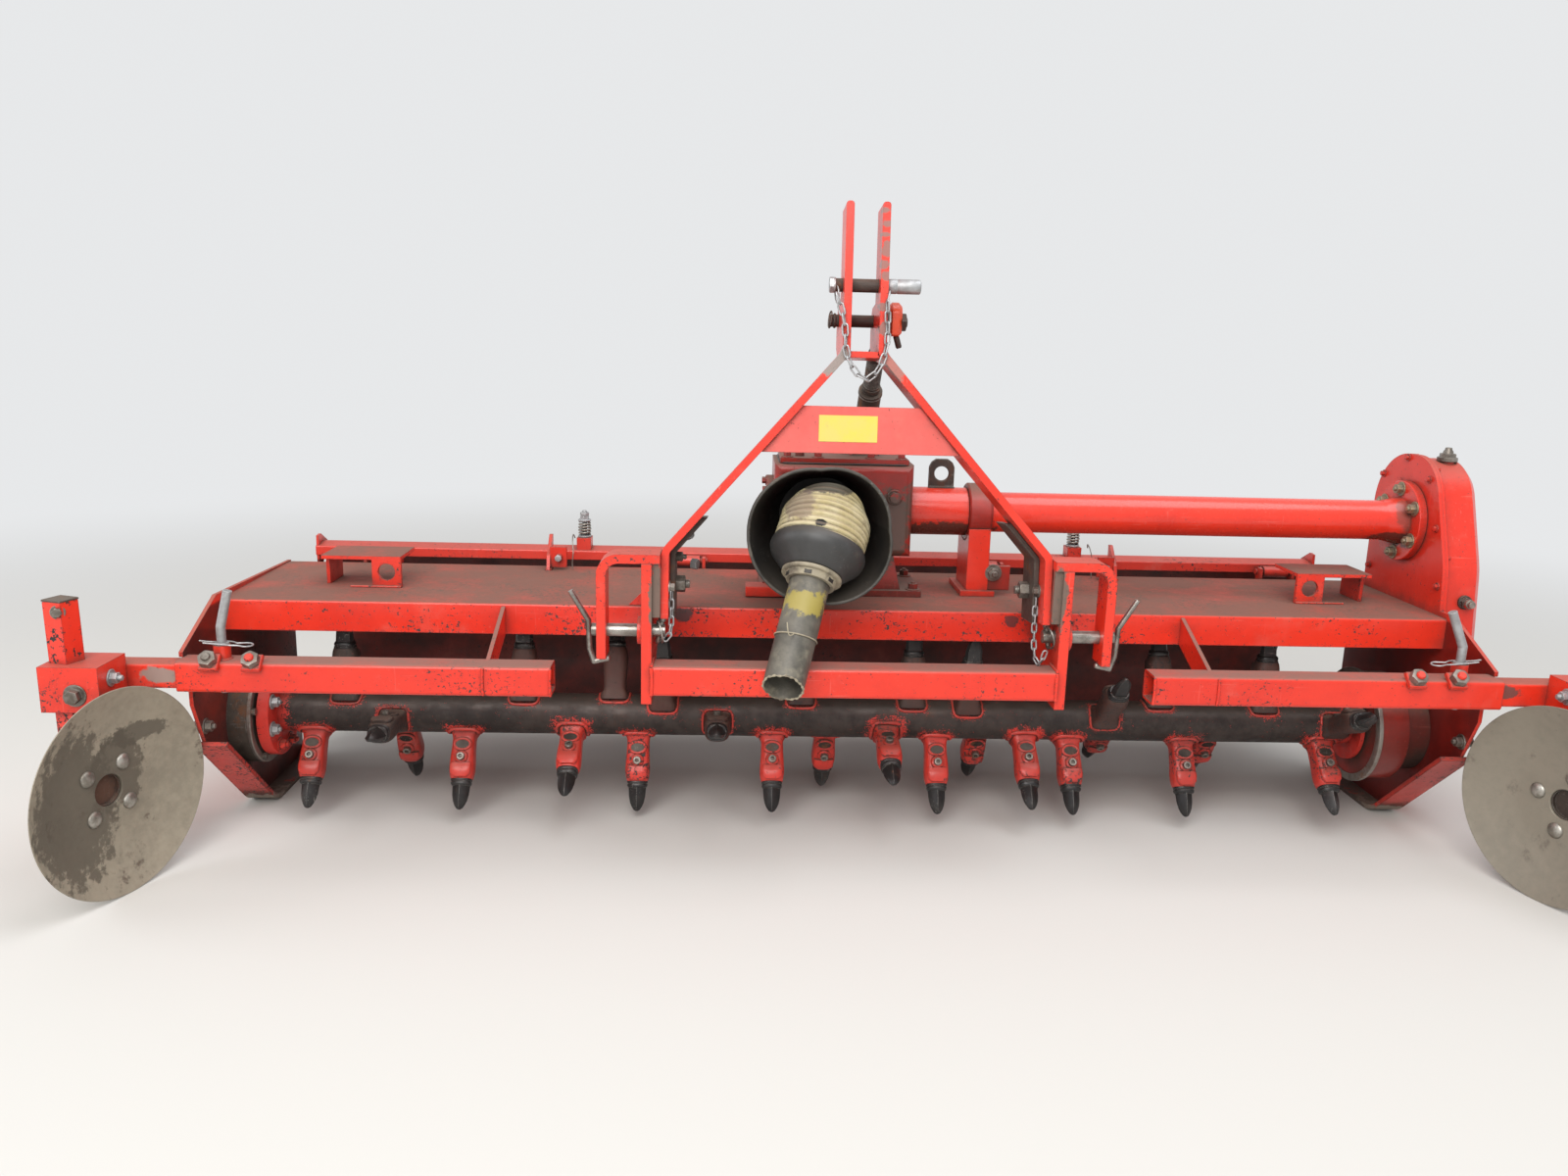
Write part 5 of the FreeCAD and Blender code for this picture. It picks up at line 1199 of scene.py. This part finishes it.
def clipShape(x, way, turn):
    # bent wire clip beside the drop pin, lying on the boss
    flat = [(-42, 5), (-20, 4), (-4, 9), (6, 15.5), (18, 15), (26, 9), (34, 12), (47, 17), (56, 10), (57, -2), (47, -10),
            (34, -6), (20, -9), (0, -8.5), (-30, -8)]
    turned = Matrix.Translation((x, 22, beams["clipHeight"])) @ Matrix.Rotation(radians(turn), 4, "Y")
    points = [turned @ Vector((a * way, b - 4, 0)) for a, b in flat]
    return sweptShape(smoothLine(points, 4.0), 1.6, 8)


def addBeamParts():
    y, z = beams["edge"]
    axis = Vector((0, -1, 1)).normalized()
    square = beams["padSize"] / 2
    pads, painted, plain = [], [], []
    for x, finish in beams["setScrews"]:
        base = Vector((x, y, z))
        outline = [(-square, -square), (square, -square), (square, square), (-square, square)]
        pads.append(slabShape(outline, base - axis * 6, (1, 0, 0), (0, 1, 1), 12, 2.0))
        top = hexShape(base + axis * 6, axis, beams["screwHead"], 15, x * 0.01)
        tip = turnedShape([(19, 8.5), (25, 8.5), (27, 7)], base, axis, 24)
        plain.append(top)
        (painted if finish == "painted" else plain).append(tip)
    makePiece("setScrewPads", pads, "frame", beamPaint)
    makePiece("setScrews", painted, "frame", boltPaint)
    makePiece("setScrewPlain", plain, "frame", boltSteel)
    makePiece("dropPinClips", [clipShape(*row) for row in beams["clips"]], "frame", zincBright)
    bolts, bright = [], []
    for x, z in beams["clampBolts"]:
        bolts += boltShapes((x, -103.8, z), (0, -1, 0), 24, 0.25, True, 0)
    for x, z in beams["innerBolts"]:
        way = 1 if x < 0 else -1
        bright += boltShapes((x, -60, z), (way, 0, 0), 19, 0.4, True, 7)
    makePiece("clampBolts", bolts, "frame", boltSteel)
    makePiece("clampInnerBolts", bright, "frame", zincBright)
    beads = []
    for side in (-1, 1):
        for x in (side * 712, side * 584.5):
            beads.append(weldShape([(x, -9, 358), (x + side, -9.5, 385), (x, -9, 412)], 3.0, x))
        ring = [(side * 1207 + 16 * cos(a), 22 + 16 * sin(a), 415.4) for a in [2 * pi * i / 12 for i in range(13)]]
        beads.append(weldShape(ring, 2.2, side))
    makePiece("beamWelds", beads, "frame", beamPaint, 50)
    caps, capBolts = [], []
    for side in (-1, 1):
        caps.append(slabShape([(-21, -21), (21, -21), (21, 21), (-21, 21)], (side * 1458, -50, 541.2), (1, 0.344 * side, 0),
                              (-0.344 * side, 1, 0), 4, 1.0))
        capBolts += boltShapes((side * 1452, -71, 524), (-0.3 * side, -1, 0.1), 15, 0.3)
    makePiece("stalkCaps", caps, "frame", dustySteel)
    makePiece("stalkBolts", capBolts, "frame", boltSteel)


addBeamParts()
print("front beams dressed")


# Drive tube with clamp ring, lifting eye and end flange, and the gearbox's bolts

drive = {
    "y": 415.0, "z": 667.0, "r": 44.45,
    "left": 145.0, "collarEnd": 276.0, "ringEnd": 324.0, "ringRadius": 64.0,
    "flangeLeft": 1264.7, "right": 1282.7, "flange": 90.0, "boltCircle": 72.0,
    "eye": (218.0, 751.0, 17.5),             # x, z and radius of the hole
    "caseLine": [(555, 480), (555, 817), (330, 817), (246, 590), (190, 102), (400, 102)],   # y, z
    "caseBend": [120.0, 126.0, 108.0, 200.0, 88.0, 98.0],
    "platePlaces": [(434.6, 808), (526.7, 760.7), (342, 769.8), (291, 669.3), (256.8, 548.6), (538.2, 540.2)],
}


bell = {
    "front": 70.6,
    "rim": [(-74, 794.5), (28, 766.4), (63.5, 679), (38.2, 571.7), (-60, 531.5), (-165.4, 564.3), (-211.5, 669),
            (-175.8, 759)],               # x and z of the egg's four points with one between each
}


def arcPoints(start, middle, end, count):
    # points on the arc through three given points, without the last one
    (ax, ay), (bx, by), (cx, cy) = start, middle, end
    d = 2 * (ax * (by - cy) + bx * (cy - ay) + cx * (ay - by))
    squares = [x * x + y * y for x, y in (start, middle, end)]
    ox = (squares[0] * (by - cy) + squares[1] * (cy - ay) + squares[2] * (ay - by)) / d
    oy = (squares[0] * (cx - bx) + squares[1] * (ax - cx) + squares[2] * (bx - ax)) / d
    first, last = math.atan2(ay - oy, ax - ox), math.atan2(cy - oy, cx - ox)
    turn = (last - first + pi) % (2 * pi) - pi
    r = math.hypot(ax - ox, ay - oy)
    return [(ox + r * cos(first + turn * i / count), oy + r * sin(first + turn * i / count)) for i in range(count)]


def addDriveTube():
    y, z, r = drive["y"], drive["z"], drive["r"]
    a, b, c, d = drive["left"], drive["collarEnd"], drive["flangeLeft"], drive["right"]
    profile = [(a, 30), (a, 51.5), (a + 1.5, 53), (b - 1.5, 53), (b, 51.5), (b, r)]
    profile += [(b + 20 + i * 46.0, r) for i in range(20)] + [(1222.7, r), (1226, r + 0.5), (1260, 52.8), (c, 53.4),
                (c, drive["flange"] - 1.5), (c + 1.5, drive["flange"]), (d - 1.5, drive["flange"]),
                (d, drive["flange"] - 1.5), (d, 30)]
    tube = makePiece("driveTubeBody", [turnedShape(profile, (0, y, z), (1, 0, 0), 72)], "frame", tubePaint, 30)
    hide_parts("drive_tube")
    ring, end = drive["ringRadius"], drive["ringEnd"]
    clamp = [turnedShape([(b - 0.5, 50), (b, ring - 3), (b + 3, ring), (end - 3, ring), (end, ring - 3), (end, 44)],
                         (0, y, z), (1, 0, 0), 64),
             turnedShape([(end - 1, 50), (end + 4, 50), (end + 6, 47), (end + 6, 44)], (0, y, z), (1, 0, 0), 48),
             boxShape(318, 373, 357, 365, 500.5, 556, 1.5)]
    makePiece("driveClampRing", clamp, "frame", gearPaint, 35)
    makePiece("driveClampBolt", boltShapes((335, 357, 540), (0, -1, 0), 22, 0.3, True, 6), "frame", boltSteel)
    x, height, hole = drive["eye"]
    outline = [(x - 28, z + 46), (x + 28, z + 46), (x + 28, height + 14), (x + 23, height + 25), (x + 13, height + 32),
               (x - 13, height + 32), (x - 23, height + 25), (x - 28, height + 14)]
    eye = holedSlab(outline, (x, height), hole, (0, y + 5, 0), (1, 0, 0), (0, 0, 1), 10)
    lip = wireRing((x, y, height), (0, 1, 0), hole + 2.5, 4.5, 40)
    foot = weldShape([(x - 29, y - 6, z + 52), (x, y - 7, z + 52.8), (x + 29, y - 6, z + 52)], 3.6)
    makePiece("liftingEye", [eye, lip, foot], "frame", eyeSteel, 40)
    heads = []
    for i in range(6):
        t = radians(i * 60 + 30)
        spot = (c, y + drive["boltCircle"] * cos(t), z + drive["boltCircle"] * sin(t))
        heads += boltShapes(spot, (-1, 0, 0), 19, t, True, 4)
    makePiece("flangeBolts", heads, "frame", boltBrass)
    makePiece("plateBolts", [s for a, b in drive["platePlaces"]
                             for s in boltShapes((1283, a, b), (-1, 0, 0), 10, a * 0.1, True, 0)], "frame", boltPaint)


def addGearboxParts():
    heads = []
    for x in (-128, -62, 52, 118):
        for y in (347, 483):
            heads += boltShapes((x, y, 787), (0, 0, 1), 15, x * 0.03, True, 0)
    for i in range(6):
        t = radians(i * 60 + 12)
        heads += boltShapes((-62 + 68.5 * cos(t), 311, 675 + 68.5 * sin(t)), (0, -1, 0), 13, t, False)
        heads += boltShapes((-169, 415 + 61 * cos(t), 667 + 61 * sin(t)), (-1, 0, 0), 13, t, True)
    for x in (-166, 156):
        for y in (342, 488):
            heads += boltShapes((x, y, 502.3), (0, 0, 1), 19, y * 0.02, True, 3)
    makePiece("gearboxBolts", heads, "frame", gearPaint, 35)
    plug = [turnedShape([(-1, 17), (3, 17), (4.5, 15.5)], (103.5, 323, 708), (0, -1, 0), 32)]
    plug.append(hexShape((103.5, 319, 708), (0, -1, 0), 22, 9, 0.3))
    makePiece("gearboxPlug", plug, "frame", gearPaint)
    makePiece("pedestalFoot", [boxShape(-212, -112, 297, 346, 489.6, 512.5, 1.5)], "frame", redPaint)
    seam = roundedLine([(-144, 332), (134, 332), (134, 498), (-144, 498)], [14] * 4, 6)
    makePiece("coverSeam", [sweptShape([(a, b, 776.2) for a, b in seam], 1.7, 6, True)], "frame", bellPlastic)
    caps = []
    for x in (43 - 43.5, 43 + 43.5):
        caps.append(turnedShape([(0, 15), (2, 15), (3, 14), (3, 9)], (x, 440, 818), (1 if x > 43 else -1, 0, 0), 24))
    makePiece("strutFootCaps", caps, "frame", boltSteel)
    rim = []
    for start, middle, end in zip(bell["rim"][::2], bell["rim"][1::2], bell["rim"][2::2] + bell["rim"][:1]):
        rim += arcPoints(start, middle, end, 16)
    makePiece("bellRim", [sweptShape([(a, bell["front"], b) for a, b in rim], 3.4, 10, True)], "frame", bellRimPlastic)


def addStrutParts():
    top, foot = Vector((43, 190, 1074)), Vector((43, 440, 818))
    way = (foot - top).normalized()
    rings = [turnedShape([(0, 17), (1, 19.5), (10, 19.5), (11, 17)], top + way * 182, way, 36),
             turnedShape([(196, 20), (197, 25.2), (203, 25.2), (204, 24)], top, way, 36)]
    makePiece("strutRings", rings, "frame", dustySteel)
    makePiece("strutRim", [turnedShape([(203.4, 24.6), (203.8, 25.7), (205.4, 25.7), (205.8, 24.4)], top, way, 48)],
              "frame", scrapedSteel)
    thread = []
    for i in range(44):
        thread += [(100 + i * 1.8, 16.7), (100.9 + i * 1.8, 17.5)]
    makePiece("strutThread", [turnedShape(thread, top, way, 32)], "frame", dustySteel)


def addCaseParts():
    outline = roundedLine(drive["caseLine"], drive["caseBend"], 6)
    rows = [Vector((0, a, b)) for a, b in outline]
    middle = sum(rows, Vector()) / len(rows)
    spots, gone = [], 30.0
    for p, q in zip(rows, rows[1:] + rows[:1]):
        gone += (q - p).length
        if gone > 92 and q.z > 500 or gone > 104:
            normal = Vector((1, 0, 0)).cross(q - p).normalized()
            if normal.dot(middle - p) < 0:
                normal = -normal
            spots.append(q + normal * 4.6)
            gone = 0.0
    heads = []
    for p in spots:
        heads += boltShapes((1297.2, p.y, p.z), (1, 0, 0), 8.5, p.y * 0.1, False)
    makePiece("caseBolts", heads, "frame", boltPaint)
    makePiece("fillerPlug", [turnedShape([(-6, 21), (2, 21), (3, 19)], (1341, 384, 813), (0, 0, 1), 32),
                             hexShape((1341, 384, 815), (0, 0, 1), 30, 9, 0.2),
                             turnedShape([(10, 11), (16, 10), (19, 7.5), (23, 7), (24, 5)], (1341, 384, 813),
                                         (0, 0, 1), 24)], "frame", boltSteel)
    makePiece("levelPlug", [turnedShape([(-4, 15), (2, 15), (3, 13)], (1341, 244, 517), (0, -1, 0), 28),
                            hexShape((1341, 242, 517), (0, -1, 0), 22, 9, 0.2)], "frame", eyeSteel)
    makePiece("levelStud", [turnedShape([(0, 9.8), (9, 9.8), (10, 7), (17, 7), (18, 5)], (1341, 233, 517), (0, -1, 0), 24)],
              "frame", discBolt)


addDriveTube()
addGearboxParts()
addStrutParts()
addCaseParts()
print("gearbox and drive dressed")


# Driveline half: sleeve over the joint, cone, ring and guard tube

driveline = {
    "joint": (-62.0, 110.0, 675.0),
    "swing": -0.245, "hang": 55.0,
    "sleeveStart": 48.0, "sleeveRadius": 90.0, "sleeveEnd": -43.0, "sleeveSlant": 23.0,
    "folds": 9, "foldDepth": 4.4,
    "cone": [(44, 85), (44.6, 89.5), (46, 92), (53, 94.4), (60, 95), (66, 93.6), (72, 91), (78, 86.4), (84, 80),
             (90, 74), (96, 68), (100, 64), (102.5, 61.5), (104, 59)],
    "coneEnd": 104.0,
    "ringStart": 104.5, "ringEnd": 124.3,
    "guardRadius": 39.5, "guardEnd": 341.0, "guardSlant": 13.0,
}


def downLine():
    hang = radians(driveline["hang"])
    return Vector(driveline["joint"]), Vector((driveline["swing"], -cos(hang), -sin(hang))).normalized()


def sleeveShapes():
    # corrugated sleeve whose free end is cut at a slant
    joint, way = downLine()
    back = Vector((0, 1, 0)) - way * way.y
    back = (back - way * back.dot(way)).normalized()
    side = way.cross(back)
    count, steps, folds = 72, 84, driveline["folds"]
    rows = []
    for k in range(steps + 1):
        u, row = k / steps, []
        for i in range(count):
            a = 2 * pi * i / count
            q = cos(a)
            end = driveline["sleeveEnd"] + driveline["sleeveSlant"] * q
            s = driveline["sleeveStart"] + u * (end - driveline["sleeveStart"])
            t = min(1.0, max(0.0, (-10 - s) / 56))
            r = driveline["sleeveRadius"] - 22 * t * t * (3 - 2 * t)
            r += driveline["foldDepth"] * (abs(cos(pi * folds * u)) - 1.0)
            r *= 1 + 0.012 * sin(3 * a + 5 * u)
            row.append(joint + way * s + (back * q + side * sin(a)) * r)
        rows.append(row)
    inner = [[p + (joint + way * (p - joint).dot(way) - p).normalized() * 3.2 for p in row] for row in rows[::-2]]
    rows += inner
    points = [p for row in rows for p in row]
    return points, ringFaces(len(rows), count, True)


def addDriveline():
    joint, way = downLine()
    sleeve = makePiece("drivelineSleeve", [sleeveShapes()], "driveline", creamPlastic, 50)
    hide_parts("driveline_bellows")
    line = driveline["cone"]
    inside = [(s - 2, r - 5.5) for s, r in line[:1:-1]]
    outer = line + [(104.2, 52)] + inside + [(40, 86), (16.4, 84), (16.4, 80), (40, 80)]
    cone = makePiece("drivelineCone", [ringShape(outer, joint, way, 96)], "driveline", conePlastic, 32)
    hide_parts("driveline_cone")
    a, b, r = driveline["ringStart"], driveline["ringEnd"], driveline["guardRadius"]
    rim = [(a, r + 18.5), (a + 1, r + 20), (a + 6, r + 20), (a + 7.5, r + 18), (a + 8, r + 12), (a + 11, r + 11),
           (b - 2, r + 9), (b, r + 7.5), (b, r + 0.6), (a, r + 0.6)]
    ring = makePiece("drivelineRing", [ringShape(rim, joint, way, 64)], "driveline", ringPlastic, 32)
    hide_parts("driveline_guard_ring")
    notches = []
    for i in range(6):
        t = 2 * pi * i / 6 + 0.35
        side, other = acrossOf(way)[1:]
        out = side * cos(t) + other * sin(t)
        notches.append(slabShape([(-7, -5), (7, -5), (7, 5), (-7, 5)], joint + way * (a + 13.4) + out * (r + 9.2),
                                 way.cross(out), way, 1.6, 0.3))
    makePiece("ringNotches", notches, "driveline", bellPlastic)
    count, start, last = 72, driveline["coneEnd"] - 8, driveline["guardEnd"]
    axis, side, other = acrossOf(way)
    rows = []
    for k, (s, radius) in enumerate([(start, r)] + [(start + 12 + 20 * i, r) for i in range(11)] + [(last, r)]
                                    + [(last, r - 3.6), (last - 60, r - 4.2), (start, r - 4.2)]):
        row = []
        for i in range(count):
            t = 2 * pi * i / count
            out = side * cos(t) + other * sin(t)
            ragged = 0.9 * sin(5 * t) + 0.8 * sin(13 * t + 1) + driveline["guardSlant"] * out.y if s == last else 0
            row.append(joint + way * (s - 1.8 + ragged if s == last else s) + out * (radius + 0.25 * sin(2 * t)))
        rows.append(row)
    guard = makePiece("drivelineGuard", [([p for row in rows for p in row], ringFaces(len(rows), count, True))],
                      "driveline", guardPlastic, 40)
    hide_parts("driveline_guard_tube")
    lip = []
    for i in range(count):
        t = 2 * pi * i / count
        out = side * cos(t) + other * sin(t)
        lip.append(joint + way * (last - 1.2 + 0.9 * sin(5 * t) + 0.8 * sin(13 * t + 1) + driveline["guardSlant"] * out.y)
                   + out * (r - 1.6))
    makePiece("guardLip", [sweptShape(lip, [2.0 + 0.9 * sin(i * 1.9) for i in range(count)], 8, True)], "driveline",
              ringPlastic, 50)
    tie = [joint + way * (240 + 5 * sin(t)) + (side * cos(t) + other * sin(t)) * (r + 1.6)
           for t in [2 * pi * i / 40 for i in range(40)]]
    tails = smoothLine([joint + way * 240 + Vector((-6, -41, 20)), joint + way * 246 + Vector((-14, -48, 26)),
                        joint + way * 236 + Vector((-20, -46, 40))], 3)
    makePiece("guardTie", [sweptShape(tie, 1.5, 6, True), sweptShape(tails, 1.2, 6)], "driveline", ringPlastic)


addDriveline()
print("driveline dressed")


# Deck and tailgate fittings

rear = {
    "adjusters": [(-600.0, 658.0, 548.0), (596.0, 658.0, 548.0)],
    "springWire": 2.3, "springRadius": 12.5, "turns": 4.5,
    "bracket": (671.0, 550.0, 518.0),      # x, y and z of the link's bolt
}


def addRearParts():
    springs, rods = [], []
    for x, y, z in rear["adjusters"]:
        line, turns = [], rear["turns"]
        for i in range(int(turns * 20) + 1):
            t = 2 * pi * i / 20
            u = i / (turns * 20)
            r = rear["springRadius"] * (1.12 - 0.24 * abs(u - 0.45))
            line.append((x + r * cos(t), y + r * sin(t), z + 6.5 + 31 * u))
        springs.append(sweptShape(line, rear["springWire"], 8))
        thread = [(0.2, 4)]
        for i in range(32):
            thread += [(1 + i * 2.0, 6.0), (2 + i * 2.0, 5.2)]
        rods.append(turnedShape(thread + [(65, 5)], (x, y, z), (0, 0, 1), 20))
        rods.append(turnedShape([(0.3, 15), (1, 16), (4, 16), (4.8, 15)], (x, y, z), (0, 0, 1), 32))
        rods.append(turnedShape([(39, 14.5), (40, 15.5), (42.5, 15.5), (43.4, 14.5)], (x, y, z), (0, 0, 1), 32))
        rods.append(hexShape((x, y, z + 43.4), (0, 0, 1), 19, 9, 0.4))
        rods.append(hexShape((x, y, z + 53.5), (0, 0, 1), 19, 7, 0.9))
    coils = makePiece("gateSprings", springs, "tailgate_board", discBolt, 50)
    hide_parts("tailgate_springs")
    makePiece("gateSpringRods", rods, "tailgate_board", zincBright)
    bolts, wires = [], []
    for side in (-1, 1):
        x, y, z = rear["bracket"]
        bolts += boltShapes((side * (x - 24), y - 8.4, z), (0, -1, 0), 14, 0.2, False, 0)
        foot = side * (x - 56)
        wires.append(sweptShape(smoothLine([(foot, 596, 556), (foot - 3, 588, 566), (foot - 2, 566, 556),
                                            (foot + 1, 553, 530), (foot - 1, 549, 505), (foot, 548, 491)], 4), 1.3, 6))
    makePiece("bracketBolts", bolts, "frame", zincBright)
    makePiece("bracketWires", wires, "frame", boltSteel)
    beads = []
    for side in (-1, 1):
        x = side * 671
        beads.append(weldShape([(x - 5, 540, 489.5), (x - 5, 560, 489.5), (x - 5, 592, 489.5)], 3, side))
        beads.append(weldShape([(x + 5, 540, 489.5), (x + 5, 560, 489.5), (x + 5, 592, 489.5)], 3, side))
    for low, high, y in ((-1060, -953, 331.6), (1012, 1120, 331.6)):
        beads.append(weldShape([(low, y, 489.6), ((low + high) / 2, y - 0.5, 489.8), (high, y, 489.6)], 3.2, low))
    makePiece("deckWelds", beads, "frame", deckPaint, 50)


addRearParts()


# Side discs

discs = {
    "centre": (1378.0, -101.0, 196.0), "toe": 19.0,
    "radius": 196.0, "thickness": 5.0, "hole": 30.0,
    "rise": [(0, 90), (-1.6, 104), (-5.1, 120), (-9.6, 136), (-15.3, 152), (-20.2, 164.5), (-25.2, 176), (-29.8, 187)],
    "rim": -34.0,
    "boltCircle": 57.0,
    "firstBolt": {-1: 50.0, 1: 81.0},
}


def addDisc(side):
    x, y, z = discs["centre"]
    toe = radians(discs["toe"])
    centre, axis = Vector((side * x, y, z)), Vector((side * cos(toe), sin(toe), 0))
    flat = Vector((axis.y, -axis.x, 0))
    flat = flat if flat.x > 0 else -flat
    r, t, rim, hole = discs["radius"], discs["thickness"], discs["rim"], discs["hole"]
    face = [(1, hole), (0, hole + 1)] + discs["rise"] + [(rim, r - 1.2), (rim + 0.6, r - 0.2), (rim + 1.6, r - 0.2)]
    back = [(s + t, q) for s, q in discs["rise"][::-1]] + [(t - 0.2, hole + 1), (t - 0.2, hole)]
    name = "Left" if side < 0 else "Right"
    body = "disc_unit_left" if side < 0 else "disc_unit_right"
    plate = makePiece("disc" + name, [ringShape(face + back, centre, axis, 144)], body, discSteel, 30)
    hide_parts("disc_left" if side < 0 else "disc_right")
    heads = []
    for i in range(4):
        a = radians(discs["firstBolt"][side] + 90 * i)
        spot = centre + (flat * cos(a) + Vector((0, 0, sin(a)))) * discs["boltCircle"]
        heads.append(turnedShape([(-0.5, 15.6), (1.2, 15.6), (3.6, 13.6), (5.6, 10), (6.8, 5.4), (7.1, 0.6)], spot,
                                 -axis, 32))
        heads.append(hexShape(spot + axis * (t + 9.2), axis, 19, 10, a))
    makePiece("disc" + name + "Bolts", heads, body, discBolt, 40)
    makePiece("disc" + name + "Cap", [turnedShape([(13.8, 2), (13.2, 20), (12.6, 28), (14.4, 28)], centre, axis, 48)],
              body, hubSteel)


for side in (-1, 1):
    addDisc(side)
print("rear fittings and discs dressed")


# Rotor bearings and skids

ends = {
    "rotor": (300.0, 220.0),
    "leftFace": -1236.0, "leftRadius": 112.0,
    "rightFace": 1155.0, "rightRadius": 127.0,
    "skidBolts": [(95.0, 253.0), (500.0, 262.0)],
}


def addEndParts():
    y, z = ends["rotor"]
    x, r = ends["leftFace"], ends["leftRadius"]
    rings = [ringShape([(-1.2, r - 15), (1.4, r - 14), (1.6, r - 1.5), (0, r + 0.6), (-6, r + 0.6), (-6, r - 1)], (x, y, z),
                       (1, 0, 0), 96)]
    x, r = ends["rightFace"], ends["rightRadius"]
    rings.append(ringShape([(-1, r - 16), (-1.2, r - 1.5), (0, r + 0.5), (7.5, r + 0.5), (8.6, r - 1), (8.6, r - 8)],
                           (x, y, z), (1, 0, 0), 96))
    makePiece("bearingRims", rings, "frame", scrapedSteel, 32)
    heads = []
    for i in range(5):
        t = radians(-51.7 + 72 * i)
        spot = (ends["leftFace"] + 1.5, y + 103 * cos(t), z + 103 * sin(t))
        heads += boltShapes(spot, (1, 0, 0), 13, t, False)
    for side in (-1, 1):
        for a, b in ends["skidBolts"]:
            heads += boltShapes((side * 1283, a, b), (-side, 0, 0), 19, a, True, 5)
            heads += boltShapes((side * 1291, a, b), (side, 0, 0), 19, b, True, 0)
    makePiece("endBolts", heads, "frame", boltSteel)


addEndParts()
print("rotor ends dressed")


addCamera(cameraView)
for lampRow in studio["lamps"]:
    addLamp(*lampRow)


def addStudio():
    world = bpy.data.worlds.new("studio")
    world.use_nodes = True
    tree = world.node_tree
    light = tree.nodes["Background"]
    light.inputs[0].default_value, light.inputs[1].default_value = studio["worldColour"], studio["worldLight"]
    shown = addNode(tree, "Background", {"Color": studio["backdrop"], "Strength": 1.0})
    path = addNode(tree, "LightPath")
    seen = maths(tree, "MAXIMUM", path.outputs["Is Camera Ray"], path.outputs["Is Glossy Ray"])
    both = addNode(tree, "MixShader", {0: seen, 1: light.outputs[0], 2: shown.outputs[0]})
    feed(tree, tree.nodes["World Output"].inputs["Surface"], both.outputs[0])
    scene.world = world
    material, tree, shader, place = newMaterial("floor")
    shader.inputs["Base Color"].default_value = studio["floorColour"]
    shader.inputs["Roughness"].default_value = 0.85
    away = addNode(tree, "VectorMath", {0: place}, operation="LENGTH").outputs["Value"]
    path = addNode(tree, "LightPath")
    seen = maths(tree, "MAXIMUM", path.outputs["Is Camera Ray"], path.outputs["Is Glossy Ray"])
    plain = addNode(tree, "Emission", {"Color": studio["backdrop"], "Strength": 1.0})
    blend = addNode(tree, "MixShader", {0: maths(tree, "MULTIPLY", seen, spread(tree, away, 1.9, 5.5)),
                                        1: shader.outputs[0], 2: plain.outputs[0]})
    feed(tree, tree.nodes["Material Output"].inputs["Surface"], blend.outputs[0])
    mesh = bpy.data.meshes.new("floor")
    mesh.from_pydata([(-30, -30, 0), (30, -30, 0), (30, 30, 0), (-30, 30, 0)], [], [(0, 1, 2, 3)])
    mesh.materials.append(material)
    floor = bpy.data.objects.new("floor", mesh)
    scene.collection.objects.link(floor)


addStudio()
scene.view_settings.view_transform = "Standard"
print("camera, lamps and floor placed")
